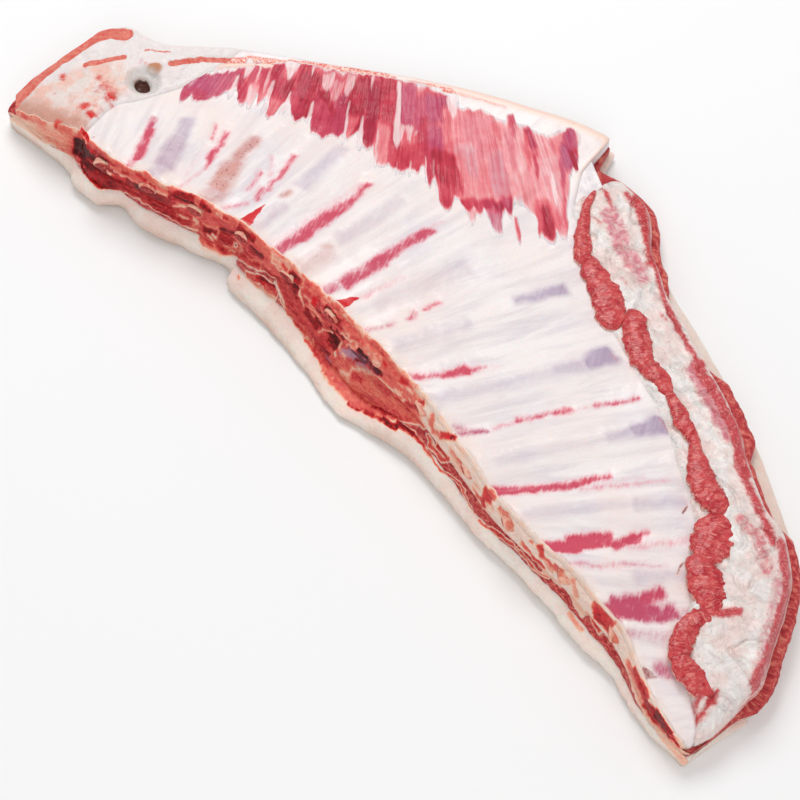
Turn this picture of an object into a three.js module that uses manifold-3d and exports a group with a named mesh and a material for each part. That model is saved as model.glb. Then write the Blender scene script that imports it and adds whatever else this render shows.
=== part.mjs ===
// A raw, bone-in breast of lamb lying on its outer side, so that the inner wall of the chest faces up.
//
// The slab is built the way the meat is: a cover of fat underneath, a layer of lean on it, and on top the
// rib panel with its twelve rib bones, the brisket end, the flank and the cut edge of the skirt muscle.
//
// Everything is placed by two numbers. `rib` runs along the slab: 1 to 12 are the ribs, and the numbers
// below 1 and above 12 are the brisket tip and the flank tip. `share` runs across it, from the sawn edge, 0,
// to the outer edge, 1. Lengths are in millimetres, +Z is up, and the slab rests on Z = 0 with the middle of
// its box over the origin.

import * as THREE from "three";
import { mergeVertices } from "three/addons/utils/BufferGeometryUtils.js";
import Module from "manifold-3d";

const wasm = await Module();
wasm.setup();

// Outlines in plan: [rib, x, y]
const SAWN_EDGE = [
  [-1, -225, -83], [-0.5, -202, -81], [0, -180, -75], [1, -160, -76], [2, -134, -71], [3, -109, -64],
  [4, -82, -59], [5, -52, -59], [6, -22, -60], [7, 8, -62], [8, 40, -66], [9, 75, -74], [10, 104, -80],
  [11, 137, -81], [12, 169, -85], [13, 197, -97], [13.5, 212, -101], [14, 223, -102],
];
const OUTER_EDGE = [
  [-1, -229, -81], [-0.5, -234, -53], [0, -234, -23], [0.35, -225, -7], [1, -210, 2], [1.5, -194, 14],
  [2, -176, 26], [3, -138, 50], [4, -98, 75], [5, -59, 95], [6, -12, 110], [6.12, -5, 96], [6.25, 6, 97],
  [6.5, 27, 94], [7, 52, 73], [8, 92, 55], [9, 130, 38], [10, 167, 16], [10.5, 191, 0], [11, 207, -15],
  [12, 221, -42], [13, 229, -63], [13.5, 227, -76], [14, 223, -97],
];
const FIRST = -1;
const LAST = 14;

// Height of the top and thickness of the two upper layers: [rib, mm]
const SAWN_HEIGHT = [
  [-1, 13], [-0.5, 20], [0, 25], [1, 28], [2, 29], [7, 29], [9, 27], [11, 25], [13, 20], [14, 12],
];
const OUTER_HEIGHT = [
  [-1, 13], [0, 19], [1, 20], [3, 18], [6, 16], [7, 17], [9, 20], [11, 21], [13, 17], [14, 11],
];
const PANEL_AT_SAWN = [[-1, 4], [0, 8], [1, 10], [7, 10], [8, 12], [9, 13], [11, 12], [13, 9], [14, 4]];
const LEAN_AT_SAWN = [
  [-1, 3], [0, 6], [1, 7], [2, 6], [3, 8], [5, 9], [6, 12], [7, 13], [8, 3.5], [11, 3], [13, 4], [14, 2.5],
];
const PANEL_INSIDE = 10.5;
const PANEL_AT_OUTER = 7;
const LEAN_AT_OUTER = 4.5;
const MIDDLE_SAG = 2.5;

// Over these stretches the two tips grow to full thickness, from these parts of it
const BRISKET_TAPER = 0.7;
const FLANK_TAPER = 0.9;
const PANEL_AT_TIP = 0.45;
const LEAN_AT_TIP = 0.5;
const REACH_AT_TIP = 0.4;

// How far the foot of the fat stands out past the sawn top edge: [rib, mm]. A torn flap begins at rib 4.
const SAWN_SPREAD = [
  [-1, 1], [-0.5, 2], [0.3, 11], [1, 10], [1.4, 4], [2, 9], [3, 9], [3.6, 7], [3.95, 10], [4.05, 14],
  [5, 16.5], [6, 20], [6.9, 24], [7.4, 20], [8.3, 12], [9, 10], [10.2, 7.5], [11, 9.5], [11.7, 10.5],
  [12.3, 7], [13, 3.5], [14, 1.5],
];
const PANEL_REACH = 0.22;
const LEAN_REACH = 0.5;
const FAT_SHOULDER = 0.85;
const LEAN_SWELL = 0.6;

// How far the top pieces and the lean stop short of the outer edge: [rib, mm]. At 0 the lean is the rim.
const TOP_INSET = [
  [-1, 4], [0.3, 5], [0.8, 9], [1.2, 12], [2, 7], [3, 5], [4, 3.5], [6, 3], [6.4, 5], [7.1, 5],
  [7.5, 7.5], [9.4, 8], [9.7, 9.5], [10.2, 9.5], [10.5, 5], [14, 5],
];
const LEAN_INSET = [
  [-1, 0], [0.3, 0], [0.8, 4], [1.2, 8], [2, 3.5], [3, 1.5], [4, 1], [6, 2.5], [6.4, 0], [7.1, 0],
  [7.5, 5], [8.4, 5.5], [8.7, 1], [9.4, 1], [9.7, 6], [10.2, 6], [10.5, 0], [13.2, 0], [13.6, 3], [14, 3],
];
const FAT_UNDER_RIM = 2;

// Foot of the fat cover: its lip is widest at LIP_HEIGHT and curves in under it to the face that it rests on
const LIP_HEIGHT = 5;
const LIP_CURVE = 2.5;
const LIP_CURVE_HEIGHT = 1;
const FOOT_INSET = 7;

// Where the rib panel ends, as [rib, share]: at the outer edge up to rib 6, then at the skirt muscle
const PANEL_END = [
  [-1, 1], [6, 1], [6.12, 0.93], [6.35, 0.8], [7, 0.77], [9, 0.75], [10, 0.73], [11, 0.6], [12, 0.45],
  [13, 0.4], [14, 0.45],
];
// The slanting seam between the brisket end and the rib panel, as [share, rib]
const BRISKET_END = [[0, 0.05], [0.3, 0.5], [0.57, 1.2], [0.75, 1.7], [1, 2]];
const PANEL_FIRST = 0.25;
const FAN_LAST = 2.25;
const BRISKET_FIRST = -0.88;
const FLANK_FIRST = 6.25;
const TOP_LAST = 13.8;
const LEAN_LAST = 13.9;
const BRISKET_BULGE = 3;
const FLANK_BULGE = { thin: 1.5, full: 5, grows: [8.5, 11.5], fades: [13, 13.7] };

// Rib bones: flat ovals whose sawn ends show in the sawn face. Their far ends: [rib, share]
const RIB_COUNT = 12;
const RIB_WIDTH = 10;
const RIB_THICKNESS = 5.6;
const RIB_DEPTH = 4.9;
const RIB_END = [
  [1, 0.36], [2, 0.52], [3, 0.58], [6, 0.62], [8, 0.63], [9, 0.67], [10, 0.63], [11, 0.48], [12, 0.32],
];
const RIB_NARROWING = 0.78;
const RIB_TIP = 0.6;
const RIDGE_HEIGHT = 2.2;
const RIDGE_FADE = 0.12;

// Cut edge of the skirt muscle, a frilled ribbon on the seam between panel and flank: [x, y, width]
const SKIRT_PATH = [
  [4, 82, 7], [9, 64, 9], [24, 47, 11], [41, 38, 12], [58, 31, 14], [73, 30, 11], [86, 23, 10],
  [97, 16, 8], [109, 12, 6], [120, 7, 8], [133, 1, 9], [145, -6, 9], [158, -14, 13], [168, -23, 14],
  [174, -34, 12], [182, -45, 12], [188, -55, 10], [191, -66, 8], [199, -76, 8], [212, -81, 8],
];
const SKIRT_THICKNESS = 7;
const SKIRT_SUNK = 1.5;
const SKIRT_TIP = { width: 0.35, thickness: 0.5, roundness: 10 };

// Clearances: between the two lower layers, under the top pieces, between top pieces in rib numbers, and
// how far a cutter runs out past the sawn face
const GAP = 0.3;
const TOP_GAP = 0.6;
const SEAM = 0.04;
const OVERRUN = 5;

// Fineness of the faces
const ROWS_PER_RIB = 4;
const ROW_MARGIN = 0.05;
const COLUMNS = [0, 0.06, 0.15, 0.32, 0.5, 0.68, 0.82, 0.92, 1];
const BRISKET_STEPS = 10;
const RIB_SIDES = 8;
const RIB_STEPS = 6;
const SKIRT_SIDES = 8;
const SKIRT_STEPS = 48;
const EDGE_STEP = 0.2;

const FAT = { color: 0xe9ddd2, roughness: 0.45 };
const LEAN = { color: 0x9c2f33, roughness: 0.4 };
const MEMBRANE = { color: 0xe6dcda, roughness: 0.3 };
const BONE = { color: 0xd9b7ad, roughness: 0.5 };
const MUSCLE = { color: 0xc24a44, roughness: 0.4 };

const { clamp, lerp, smoothstep } = THREE.MathUtils;
const evenShares = (n) => Array.from({ length: n + 1 }, (_, j) => j / n);
const flatDistance = (p, q) => Math.hypot(p.x - q.x, p.y - q.y);
const at = (p, z) => new THREE.Vector3(p.x, p.y, z);

// A smooth curve through knots, each [place, value, ...], that never swings past them: a cubic between two
// knots, with the harmonic mean of the neighbouring slopes as its slope at a knot.
function through(knots, column = 1) {
  const place = knots.map((k) => k[0]);
  const value = knots.map((k) => k[column]);
  const end = knots.length - 1;
  const rise = place.slice(1).map((x, i) => (value[i + 1] - value[i]) / (x - place[i]));
  const slope = place.map((_, i) => {
    if (i === 0) return rise[0];
    if (i === end) return rise[end - 1];
    const product = rise[i - 1] * rise[i];
    return product > 0 ? (2 * product) / (rise[i - 1] + rise[i]) : 0;
  });
  return (x) => {
    const inside = clamp(x, place[0], place[end]);
    let i = 0;
    while (i < end - 1 && inside > place[i + 1]) i += 1;
    const width = place[i + 1] - place[i];
    const t = (inside - place[i]) / width;
    const s = 1 - t;
    return (
      value[i] * s * s * (1 + 2 * t) + value[i + 1] * t * t * (3 - 2 * t) +
      slope[i] * width * t * s * s - slope[i + 1] * width * s * t * t
    );
  };
}

const sawnX = through(SAWN_EDGE, 1);
const sawnY = through(SAWN_EDGE, 2);
const outerX = through(OUTER_EDGE, 1);
const outerY = through(OUTER_EDGE, 2);
const sawnHeight = through(SAWN_HEIGHT);
const outerHeight = through(OUTER_HEIGHT);
const panelAtSawn = through(PANEL_AT_SAWN);
const leanAtSawn = through(LEAN_AT_SAWN);
const sawnSpread = through(SAWN_SPREAD);
const topInset = through(TOP_INSET);
const leanInset = through(LEAN_INSET);
const panelEnd = through(PANEL_END);
const brisketEnd = through(BRISKET_END);
const ribEnd = through(RIB_END);

// 0 at the two tips, 1 over the rest of the slab
function awayFromTips(rib) {
  return smoothstep(rib, FIRST, FIRST + BRISKET_TAPER) * (1 - smoothstep(rib, LAST - FLANK_TAPER, LAST));
}

// A point of an edge moved sideways, to the right of the way that it runs
function beside(xAt, yAt, rib, distance) {
  const dx = xAt(rib + EDGE_STEP) - xAt(rib - EDGE_STEP);
  const dy = yAt(rib + EDGE_STEP) - yAt(rib - EDGE_STEP);
  const length = Math.hypot(dx, dy);
  return new THREE.Vector2(xAt(rib) + (dy / length) * distance, yAt(rib) - (dx / length) * distance);
}
const sawnPoint = (rib, reach) => beside(sawnX, sawnY, rib, reach * lerp(REACH_AT_TIP, 1, awayFromTips(rib)));
const outerPoint = (rib, inset) => beside(outerX, outerY, rib, inset * awayFromTips(rib));

// Where each layer's upper face starts at the sawn edge and ends at the outer edge
const nearOfPanel = (rib) => sawnPoint(rib, PANEL_REACH * sawnSpread(rib));
const nearOfLean = (rib) => sawnPoint(rib, LEAN_REACH * sawnSpread(rib));
const farOfTop = (rib) => outerPoint(rib, topInset(rib));
const farOfLean = (rib) => outerPoint(rib, lerp(topInset(rib), leanInset(rib), 0.7) + 1);
const onTop = (rib, share) => new THREE.Vector2().lerpVectors(sawnPoint(rib, 0), farOfTop(rib), share);
const underTop = (rib, share) => new THREE.Vector2().lerpVectors(nearOfPanel(rib), farOfTop(rib), share);

// Height of the top without its ridges, and below it the floors of the top pieces and of the lean
function baseTop(rib, share) {
  const level = lerp(sawnHeight(rib), outerHeight(rib), smoothstep(share, -0.1, 1.1));
  return level - MIDDLE_SAG * Math.sin(Math.PI * clamp(share, 0, 1)) * awayFromTips(rib);
}
function panelFloor(rib, share) {
  const inside = lerp(panelAtSawn(rib), PANEL_INSIDE, smoothstep(share, 0, 0.15));
  const thickness = lerp(inside, PANEL_AT_OUTER, smoothstep(share, 0.7, 1));
  return baseTop(rib, share) - thickness * lerp(PANEL_AT_TIP, 1, awayFromTips(rib));
}
function leanFloor(rib, share) {
  const thickness = lerp(leanAtSawn(rib), LEAN_AT_OUTER, smoothstep(share, 0, 0.3));
  return panelFloor(rib, share) - thickness * lerp(LEAN_AT_TIP, 1, awayFromTips(rib));
}

// Ridges that the ribs raise under the membrane
function ridges(rib, share) {
  const fade = 1 - smoothstep(share, ribEnd(rib), ribEnd(rib) + RIDGE_FADE);
  const among = smoothstep(rib, 0.5, 1) * (1 - smoothstep(rib, RIB_COUNT, RIB_COUNT + 0.5));
  return RIDGE_HEIGHT * (0.5 + 0.5 * Math.cos(2 * Math.PI * rib)) * fade * among;
}

// A pad with a flat middle and rounded sides, over shares 0 to 1
const bulge = (height, share) => height * Math.sqrt(Math.max(0, 1 - (2 * clamp(share, 0, 1) - 1) ** 4));

// A closed body from rings of points that all have the same count. A face between two rings is split along
// its shorter diagonal in plan, so two layers with the same grid split alike.
function loft(rings) {
  const count = rings[0].length;
  const points = rings.flat();
  const faces = [];
  for (let i = 0; i < rings.length - 1; i += 1)
    for (let k = 0; k < count; k += 1) {
      const next = (k + 1) % count;
      const [a, b] = [i * count + k, (i + 1) * count + k];
      const [c, d] = [(i + 1) * count + next, i * count + next];
      if (flatDistance(points[a], points[c]) < flatDistance(points[b], points[d]))
        faces.push(a, b, c, a, c, d);
      else faces.push(a, b, d, b, c, d);
    }
  const last = points.length - count;
  for (const [a, b, c] of fillRing(count)) faces.push(a, b, c, last + a, last + c, last + b);
  const geometry = new THREE.BufferGeometry();
  geometry.setAttribute("position", new THREE.Float32BufferAttribute(points.flatMap((p) => p.toArray()), 3));
  geometry.setIndex(signedVolume(points, faces) < 0 ? faces.reverse() : faces);
  return geometry;
}

// Triangles that fill one ring, in strips between its first half and its second half
function fillRing(count) {
  const triangles = [];
  for (let k = 0; k < count / 2 - 1; k += 1) {
    const facing = count - 1 - k;
    if (facing - 1 > k + 1) triangles.push([k, k + 1, facing - 1]);
    triangles.push([k, facing - 1, facing]);
  }
  return triangles;
}

function signedVolume(points, faces) {
  const turned = new THREE.Vector3();
  let sum = 0;
  for (let i = 0; i < faces.length; i += 3)
    sum += points[faces[i]].dot(turned.crossVectors(points[faces[i + 1]], points[faces[i + 2]]));
  return sum / 6;
}

// A closed geometry with other closed geometries cut out of it
function solidOf(geometry) {
  const merged = mergeVertices(geometry);
  return new wasm.Manifold(new wasm.Mesh({
    numProp: 3,
    vertProperties: new Float32Array(merged.getAttribute("position").array),
    triVerts: new Uint32Array(merged.getIndex().array),
  }));
}
function cutAway(geometry, cutters) {
  const whole = solidOf(geometry);
  const cut = cutters.reduce((solid, cutter) => solid.subtract(solidOf(cutter)), whole).getMesh();
  return new THREE.BufferGeometry()
    .setAttribute("position", new THREE.BufferAttribute(cut.vertProperties, 3))
    .setIndex(new THREE.BufferAttribute(cut.triVerts, 1));
}

// The rib numbers at which rows of faces lie, twice as close at the brisket tip
function rowsBetween(from, to) {
  const rows = [from];
  for (let k = 2 * FIRST * ROWS_PER_RIB; k < LAST * ROWS_PER_RIB; k += 1) {
    const rib = k < 0 ? k / (2 * ROWS_PER_RIB) : k / ROWS_PER_RIB;
    if (rib > from + ROW_MARGIN && rib < to - ROW_MARGIN) rows.push(rib);
  }
  return [...rows, to];
}

// A row of points from the sawn side to the outer side, with a height at each share
function row(near, far, height) {
  return COLUMNS.map((share) => at(new THREE.Vector2().lerpVectors(near, far, share), height(share)));
}

// Fat cover: the whole outline, flat where it rests, with a rounded lip all round
function fatRing(rib) {
  const soft = awayFromTips(rib);
  const spread = sawnSpread(rib);
  const rim = leanInset(rib) < 0.5 ? FAT_UNDER_RIM : 0;
  const outerTop = leanFloor(rib, 1) - GAP;
  const lip = Math.min(LIP_HEIGHT, 0.5 * outerTop);
  return [
    ...row(nearOfLean(rib), farOfLean(rib), (share) => leanFloor(rib, share) - GAP / 2),
    at(outerPoint(rib, rim), 0.75 * outerTop),
    at(outerPoint(rib, rim), lip),
    at(outerPoint(rib, rim + LIP_CURVE), LIP_CURVE_HEIGHT),
    at(outerPoint(rib, rim + FOOT_INSET), 0),
    at(sawnPoint(rib, spread - FOOT_INSET * soft), 0),
    at(sawnPoint(rib, spread - LIP_CURVE * soft), LIP_CURVE_HEIGHT),
    at(sawnPoint(rib, spread), lip),
    at(sawnPoint(rib, FAT_SHOULDER * spread), lerp(lip, leanFloor(rib, 0), 0.6)),
  ];
}

// Lean: between the fat and the top pieces, standing out a little in the sawn face and at the outer rim
function leanRing(rib) {
  const middle = (share) => lerp(leanFloor(rib, share), panelFloor(rib, share), 0.5);
  const swell = lerp(PANEL_REACH, LEAN_REACH, 0.6) * sawnSpread(rib) + LEAN_SWELL;
  return [
    ...row(nearOfPanel(rib), farOfTop(rib), (share) => panelFloor(rib, share) - TOP_GAP / 2),
    at(outerPoint(rib, leanInset(rib)), middle(1)),
    ...row(nearOfLean(rib), farOfLean(rib), (share) => leanFloor(rib, share) + GAP / 2).reverse(),
    at(sawnPoint(rib, swell), middle(0)),
  ];
}

// A top piece between two shares. `ribAt` gives the rib number at a share, so that a seam can run aslant.
function topRing(ribAt, from, to, raise) {
  const upper = [];
  const lower = [];
  for (const column of COLUMNS) {
    const share = lerp(from, to, column);
    const rib = ribAt(share);
    upper.push(at(onTop(rib, share), baseTop(rib, share) + raise(rib, share, column)));
    lower.push(at(underTop(rib, share), panelFloor(rib, share) + TOP_GAP / 2));
  }
  return [...upper, ...lower.reverse()];
}

// Rib panel: its first rows fan out from the slanting seam with the brisket end
function panelGeometry() {
  return loft(rowsBetween(PANEL_FIRST, TOP_LAST).map((rib) => {
    const fan = (rib - PANEL_FIRST) / (FAN_LAST - PANEL_FIRST);
    const ribAt = (share) => (fan >= 1 ? rib : lerp(brisketEnd(share) + SEAM / 2, FAN_LAST, fan));
    return topRing(ribAt, 0, panelEnd(rib), ridges);
  }));
}

// Brisket end: the fat and gristle at the tip, up to the slanting seam with the panel
function brisketGeometry() {
  return loft(evenShares(BRISKET_STEPS).map((step) => {
    const ribAt = (share) => lerp(BRISKET_FIRST, brisketEnd(share) - SEAM / 2, step);
    const height = (rib) => BRISKET_BULGE * awayFromTips(rib) * (1 - smoothstep(step, 0.75, 1));
    return topRing(ribAt, 0, 1, (rib, share) => bulge(height(rib), share));
  }));
}

// Flank: the pad of fat and thin muscle past the skirt
function flankGeometry() {
  return loft(rowsBetween(FLANK_FIRST, TOP_LAST).map((rib) => {
    const grown = smoothstep(rib, ...FLANK_BULGE.grows) * (1 - smoothstep(rib, ...FLANK_BULGE.fades));
    const height = lerp(FLANK_BULGE.thin, FLANK_BULGE.full, grown);
    return topRing(() => rib, panelEnd(rib) + SEAM / 4, 1, (_, share, column) => bulge(height, column));
  }));
}

// A bone follows its rib number inwards from the sawn face, under the membrane. With `grow` it is the
// channel for the bone.
function ribGeometry(rib, grow = 0) {
  const along = new THREE.Vector2().subVectors(onTop(rib, 1), onTop(rib, 0)).normalize();
  const side = new THREE.Vector2(-along.y, along.x);
  const stations = evenShares(RIB_STEPS).map((step) => [step, step === 1 ? grow : 0]);
  if (grow > 0) stations.unshift([0, -OVERRUN]);
  return loft(stations.map(([step, push]) => {
    const share = ribEnd(rib) * step;
    const centre = onTop(rib, share).addScaledVector(along, push);
    const narrow = lerp(1, RIB_NARROWING, step) * (step === 1 ? RIB_TIP : 1);
    const halfWidth = (RIB_WIDTH / 2) * narrow + grow;
    const halfHeight = (RIB_THICKNESS / 2) * narrow + grow;
    return Array.from({ length: RIB_SIDES }, (_, k) => {
      const turn = (2 * Math.PI * (k + 0.5)) / RIB_SIDES;
      const p = centre.clone().addScaledVector(side, halfWidth * Math.cos(turn));
      return at(p, baseTop(rib, share) - RIB_DEPTH + halfHeight * Math.sin(turn));
    });
  }));
}

// Height of the top at a plan point, from the nearest of a fine net of its points
function topAt(x, y) {
  const net = { ribStep: 0.05, shareStep: 0.02, firstShare: 0.3 };
  let nearest = { miss: Infinity };
  for (let rib = FLANK_FIRST - 0.3; rib < LAST; rib += net.ribStep)
    for (let share = net.firstShare; share < 1; share += net.shareStep) {
      const miss = flatDistance(onTop(rib, share), { x, y });
      if (miss < nearest.miss) nearest = { miss, height: baseTop(rib, share) };
    }
  return nearest.height;
}

// Skirt: a thick ribbon along its path, sunk a little into panel and flank. With `grow` it is its channel.
const skirtLine = new THREE.CatmullRomCurve3(
  SKIRT_PATH.map(([x, y]) => new THREE.Vector3(x, y, topAt(x, y) - SKIRT_SUNK + SKIRT_THICKNESS / 2)),
  false,
  "centripetal",
);
const skirtWidth = through(SKIRT_PATH.map(([, , width], i) => [i / (SKIRT_PATH.length - 1), width]));
function skirtGeometry(grow = 0) {
  return loft(evenShares(SKIRT_STEPS).map((step) => {
    const centre = skirtLine.getPoint(step);
    const along = skirtLine.getTangent(step);
    const side = new THREE.Vector2(-along.y, along.x).normalize();
    const rounded = Math.sqrt(Math.max(0, 1 - (2 * step - 1) ** SKIRT_TIP.roundness));
    const halfWidth = (skirtWidth(step) / 2) * lerp(SKIRT_TIP.width, 1, rounded) + grow;
    const halfHeight = (SKIRT_THICKNESS / 2) * lerp(SKIRT_TIP.thickness, 1, rounded) + grow;
    return Array.from({ length: SKIRT_SIDES }, (_, k) => {
      const turn = (2 * Math.PI * (k + 0.5)) / SKIRT_SIDES;
      const p = new THREE.Vector2(centre.x, centre.y).addScaledVector(side, halfWidth * Math.cos(turn));
      return at(p, centre.z + halfHeight * Math.sin(turn));
    });
  }));
}

// Assembly
const breast = new THREE.Group();
function piece(name, geometry, look) {
  const mesh = new THREE.Mesh(geometry, new THREE.MeshStandardMaterial({ metalness: 0, ...look }));
  mesh.name = name;
  breast.add(mesh);
}

const ribNumbers = Array.from({ length: RIB_COUNT }, (_, k) => k + 1);
const ribChannels = ribNumbers.map((rib) => ribGeometry(rib, GAP));
const skirtChannel = skirtGeometry(GAP);
const leanRows = rowsBetween(FIRST, LEAN_LAST);

piece("fat_cover", loft([...leanRows, LAST].map(fatRing)), FAT);
piece("lean_layer", loft(leanRows.map(leanRing)), LEAN);
piece("rib_panel", cutAway(panelGeometry(), [...ribChannels, skirtChannel]), MEMBRANE);
piece("brisket_end", brisketGeometry(), FAT);
piece("flank_fat", cutAway(flankGeometry(), [skirtChannel]), FAT);
piece("skirt_muscle", skirtGeometry(), MUSCLE);
for (const rib of ribNumbers) piece(`rib_${String(rib).padStart(2, "0")}`, ribGeometry(rib), BONE);

// The middle of the box goes over the origin
const box = new THREE.Box3().setFromObject(breast);
const middle = box.getCenter(new THREE.Vector3());
for (const mesh of breast.children) mesh.position.set(-middle.x, -middle.y, -box.min.z);

export default breast;
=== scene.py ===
"""Raw breast of lamb lying inner side up: the looks of its pieces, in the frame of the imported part.

Every place on the slab is given by two numbers, as in the part itself. rib runs along the slab, 1 to 12 at
the ribs, and share runs across it, from the sawn edge, 0, to the outer edge, 1. Lengths here are in
millimetres, and skin() turns them into metres.
"""

import bpy
import numpy as np
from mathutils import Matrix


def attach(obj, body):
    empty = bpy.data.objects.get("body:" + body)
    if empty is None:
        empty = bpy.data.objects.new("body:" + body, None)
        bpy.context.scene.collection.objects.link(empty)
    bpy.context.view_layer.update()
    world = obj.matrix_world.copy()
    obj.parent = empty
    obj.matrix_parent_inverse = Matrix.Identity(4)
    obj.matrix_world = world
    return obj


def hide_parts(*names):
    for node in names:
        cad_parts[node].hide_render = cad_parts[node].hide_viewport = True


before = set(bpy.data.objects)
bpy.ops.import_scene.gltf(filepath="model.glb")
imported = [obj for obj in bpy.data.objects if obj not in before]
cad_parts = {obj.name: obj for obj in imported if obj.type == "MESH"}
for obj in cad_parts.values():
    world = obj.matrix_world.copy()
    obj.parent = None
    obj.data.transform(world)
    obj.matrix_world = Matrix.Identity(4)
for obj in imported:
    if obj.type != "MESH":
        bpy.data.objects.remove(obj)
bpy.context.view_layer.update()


# Outer fat
# The cover of white fat that the slab lies on. It shows under the lean in the sawn face and as the rim of
# the outer edge, and is torn to a flap from the fourth rib on. It is one skin of rings along the slab.

SAWN_EDGE = [
    [-1, -225, -83], [-0.5, -202, -81], [0, -180, -75], [1, -160, -76], [2, -134, -71], [3, -109, -64],
    [4, -82, -59], [5, -52, -59], [6, -22, -60], [7, 8, -62], [8, 40, -66], [9, 75, -74], [10, 104, -80],
    [11, 137, -81], [12, 169, -85], [13, 197, -97], [13.5, 212, -101], [14, 223, -102],
]
OUTER_EDGE = [
    [-1, -229, -81], [-0.5, -234, -53], [0, -234, -23], [0.35, -225, -7], [1, -210, 2], [1.5, -194, 14],
    [2, -176, 26], [3, -138, 50], [4, -98, 75], [5, -59, 95], [6, -12, 110], [6.12, -5, 96], [6.25, 6, 97],
    [6.5, 27, 94], [7, 52, 73], [8, 92, 55], [9, 130, 38], [10, 167, 16], [10.5, 191, 0], [11, 207, -15],
    [12, 221, -42], [13, 229, -63], [13.5, 227, -76], [14, 223, -97],
]
FIRST = -1
LAST = 14
SAWN_HEIGHT = [
    [-1, 13], [-0.5, 20], [0, 25], [1, 28], [2, 29], [7, 29], [9, 27], [11, 25], [13, 20], [14, 12],
]
OUTER_HEIGHT = [
    [-1, 13], [0, 19], [1, 20], [3, 18], [6, 16], [7, 17], [9, 20], [11, 21], [13, 17], [14, 11],
]
PANEL_AT_SAWN = [[-1, 4], [0, 8], [1, 10], [7, 10], [8, 12], [9, 13], [11, 12], [13, 9], [14, 4]]
LEAN_AT_SAWN = [
    [-1, 3], [0, 6], [1, 7], [2, 6], [3, 8], [5, 9], [6, 12], [7, 13], [8, 3.5], [11, 3], [13, 4], [14, 2.5],
]
SAWN_SPREAD = [
    [-1, 1], [-0.5, 2], [0.3, 11], [1, 10], [1.4, 4], [2, 9], [3, 9], [3.6, 7], [3.97, 9], [4.03, 14.5],
    [5, 16.5], [6, 20], [6.9, 24], [7.4, 20], [8.3, 12], [9, 10], [10.2, 7.5], [11, 9.5], [11.7, 10.5],
    [12.3, 7], [13, 3.5], [14, 1.5],
]
TOP_INSET = [
    [-1, 4], [0.3, 5], [0.8, 9], [1.2, 12], [2, 7], [3, 5], [4, 3.5], [6, 3], [6.4, 5], [7.1, 5],
    [7.5, 7.5], [9.4, 8], [9.7, 9.5], [10.2, 9.5], [10.5, 5], [14, 5],
]
LEAN_INSET = [
    [-1, 0], [0.3, 0], [0.8, 4], [1.2, 8], [2, 3.5], [3, 1.5], [4, 1], [6, 2.5], [6.4, 0], [7.1, 0],
    [7.5, 5], [8.4, 5.5], [8.7, 1], [9.4, 1], [9.7, 6], [10.2, 6], [10.5, 0], [13.2, 0], [13.6, 3], [14, 3],
]
# Thickness of the top pieces in the middle of the slab and at its outer edge, and of the lean there
MIDDLE_THICKNESS = 10.5
OUTER_THICKNESS = 7
LEAN_THICKNESS = 4.5
# From the drawing of the slab to the middle of its box
SHIFT = np.array([2.5, -3.6143, 0])
# Rings along the fat and along the lean
RINGS = 640


def smooth(x, low, high):
    """0 below low, 1 above high, and 3t² - 2t³ between them, with t the way from low to high."""
    t = np.clip((x - low) / (high - low), 0, 1)
    return t * t * (3 - 2 * t)


def between(a, b, share):
    """a at share 0, b at share 1, and in a straight line between them."""
    return a + (b - a) * share


def through(knots, column=1):
    """A smooth curve through knots that never swings past them: a cubic between each two, whose slope at a
    knot is the harmonic mean of the two slopes beside it, or 0 where one rises and the other falls."""
    table = np.array(knots, float)
    place, value = table[:, 0], table[:, column]
    width = np.diff(place)
    rise = np.diff(value) / width
    product = rise[:-1] * rise[1:]
    total = np.where(product > 0, rise[:-1] + rise[1:], 1)
    inner = np.where(product > 0, 2 * product / total, 0)
    slope = np.concatenate([[rise[0]], inner, [rise[-1]]])

    def curve(x):
        inside = np.clip(x, place[0], place[-1])
        i = np.clip(np.searchsorted(place, inside) - 1, 0, len(width) - 1)
        t = (inside - place[i]) / width[i]
        s = 1 - t
        ends = value[i] * s * s * (1 + 2 * t) + value[i + 1] * t * t * (3 - 2 * t)
        return ends + width[i] * t * s * (slope[i] * s - slope[i + 1] * t)

    return curve


sawn_x, sawn_y = through(SAWN_EDGE, 1), through(SAWN_EDGE, 2)
outer_x, outer_y = through(OUTER_EDGE, 1), through(OUTER_EDGE, 2)
sawn_height, outer_height = through(SAWN_HEIGHT), through(OUTER_HEIGHT)
panel_at_sawn, lean_at_sawn = through(PANEL_AT_SAWN), through(LEAN_AT_SAWN)
sawn_spread = through(SAWN_SPREAD)
top_inset, lean_inset = through(TOP_INSET), through(LEAN_INSET)


def away_from_tips(rib):
    """0 at the two tips of the slab and 1 over the rest of it."""
    return smooth(rib, FIRST, FIRST + 0.7) * (1 - smooth(rib, LAST - 0.9, LAST))


def beside(x_at, y_at, rib, distance):
    """Plan points of an edge, moved sideways by a distance, to the right of the way that the edge runs."""
    dx = x_at(rib + 0.2) - x_at(rib - 0.2)
    dy = y_at(rib + 0.2) - y_at(rib - 0.2)
    length = np.hypot(dx, dy)
    return x_at(rib) + dy / length * distance, y_at(rib) - dx / length * distance


def sawn_point(rib, reach):
    """Plan points that stand out from the sawn edge by reach, and by less at the tips."""
    return beside(sawn_x, sawn_y, rib, reach * between(0.4, 1, away_from_tips(rib)))


def outer_point(rib, inset):
    """Plan points that lie inside the outer edge by inset, and by nothing at the tips."""
    return beside(outer_x, outer_y, rib, inset * away_from_tips(rib))


def across(rib, share, reach=0):
    """Plan points on the straight line from the sawn edge, or reach past it, to where the top ends."""
    near_x, near_y = sawn_point(rib, reach)
    far_x, far_y = outer_point(rib, top_inset(rib))
    return between(near_x, far_x, share), between(near_y, far_y, share)


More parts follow.
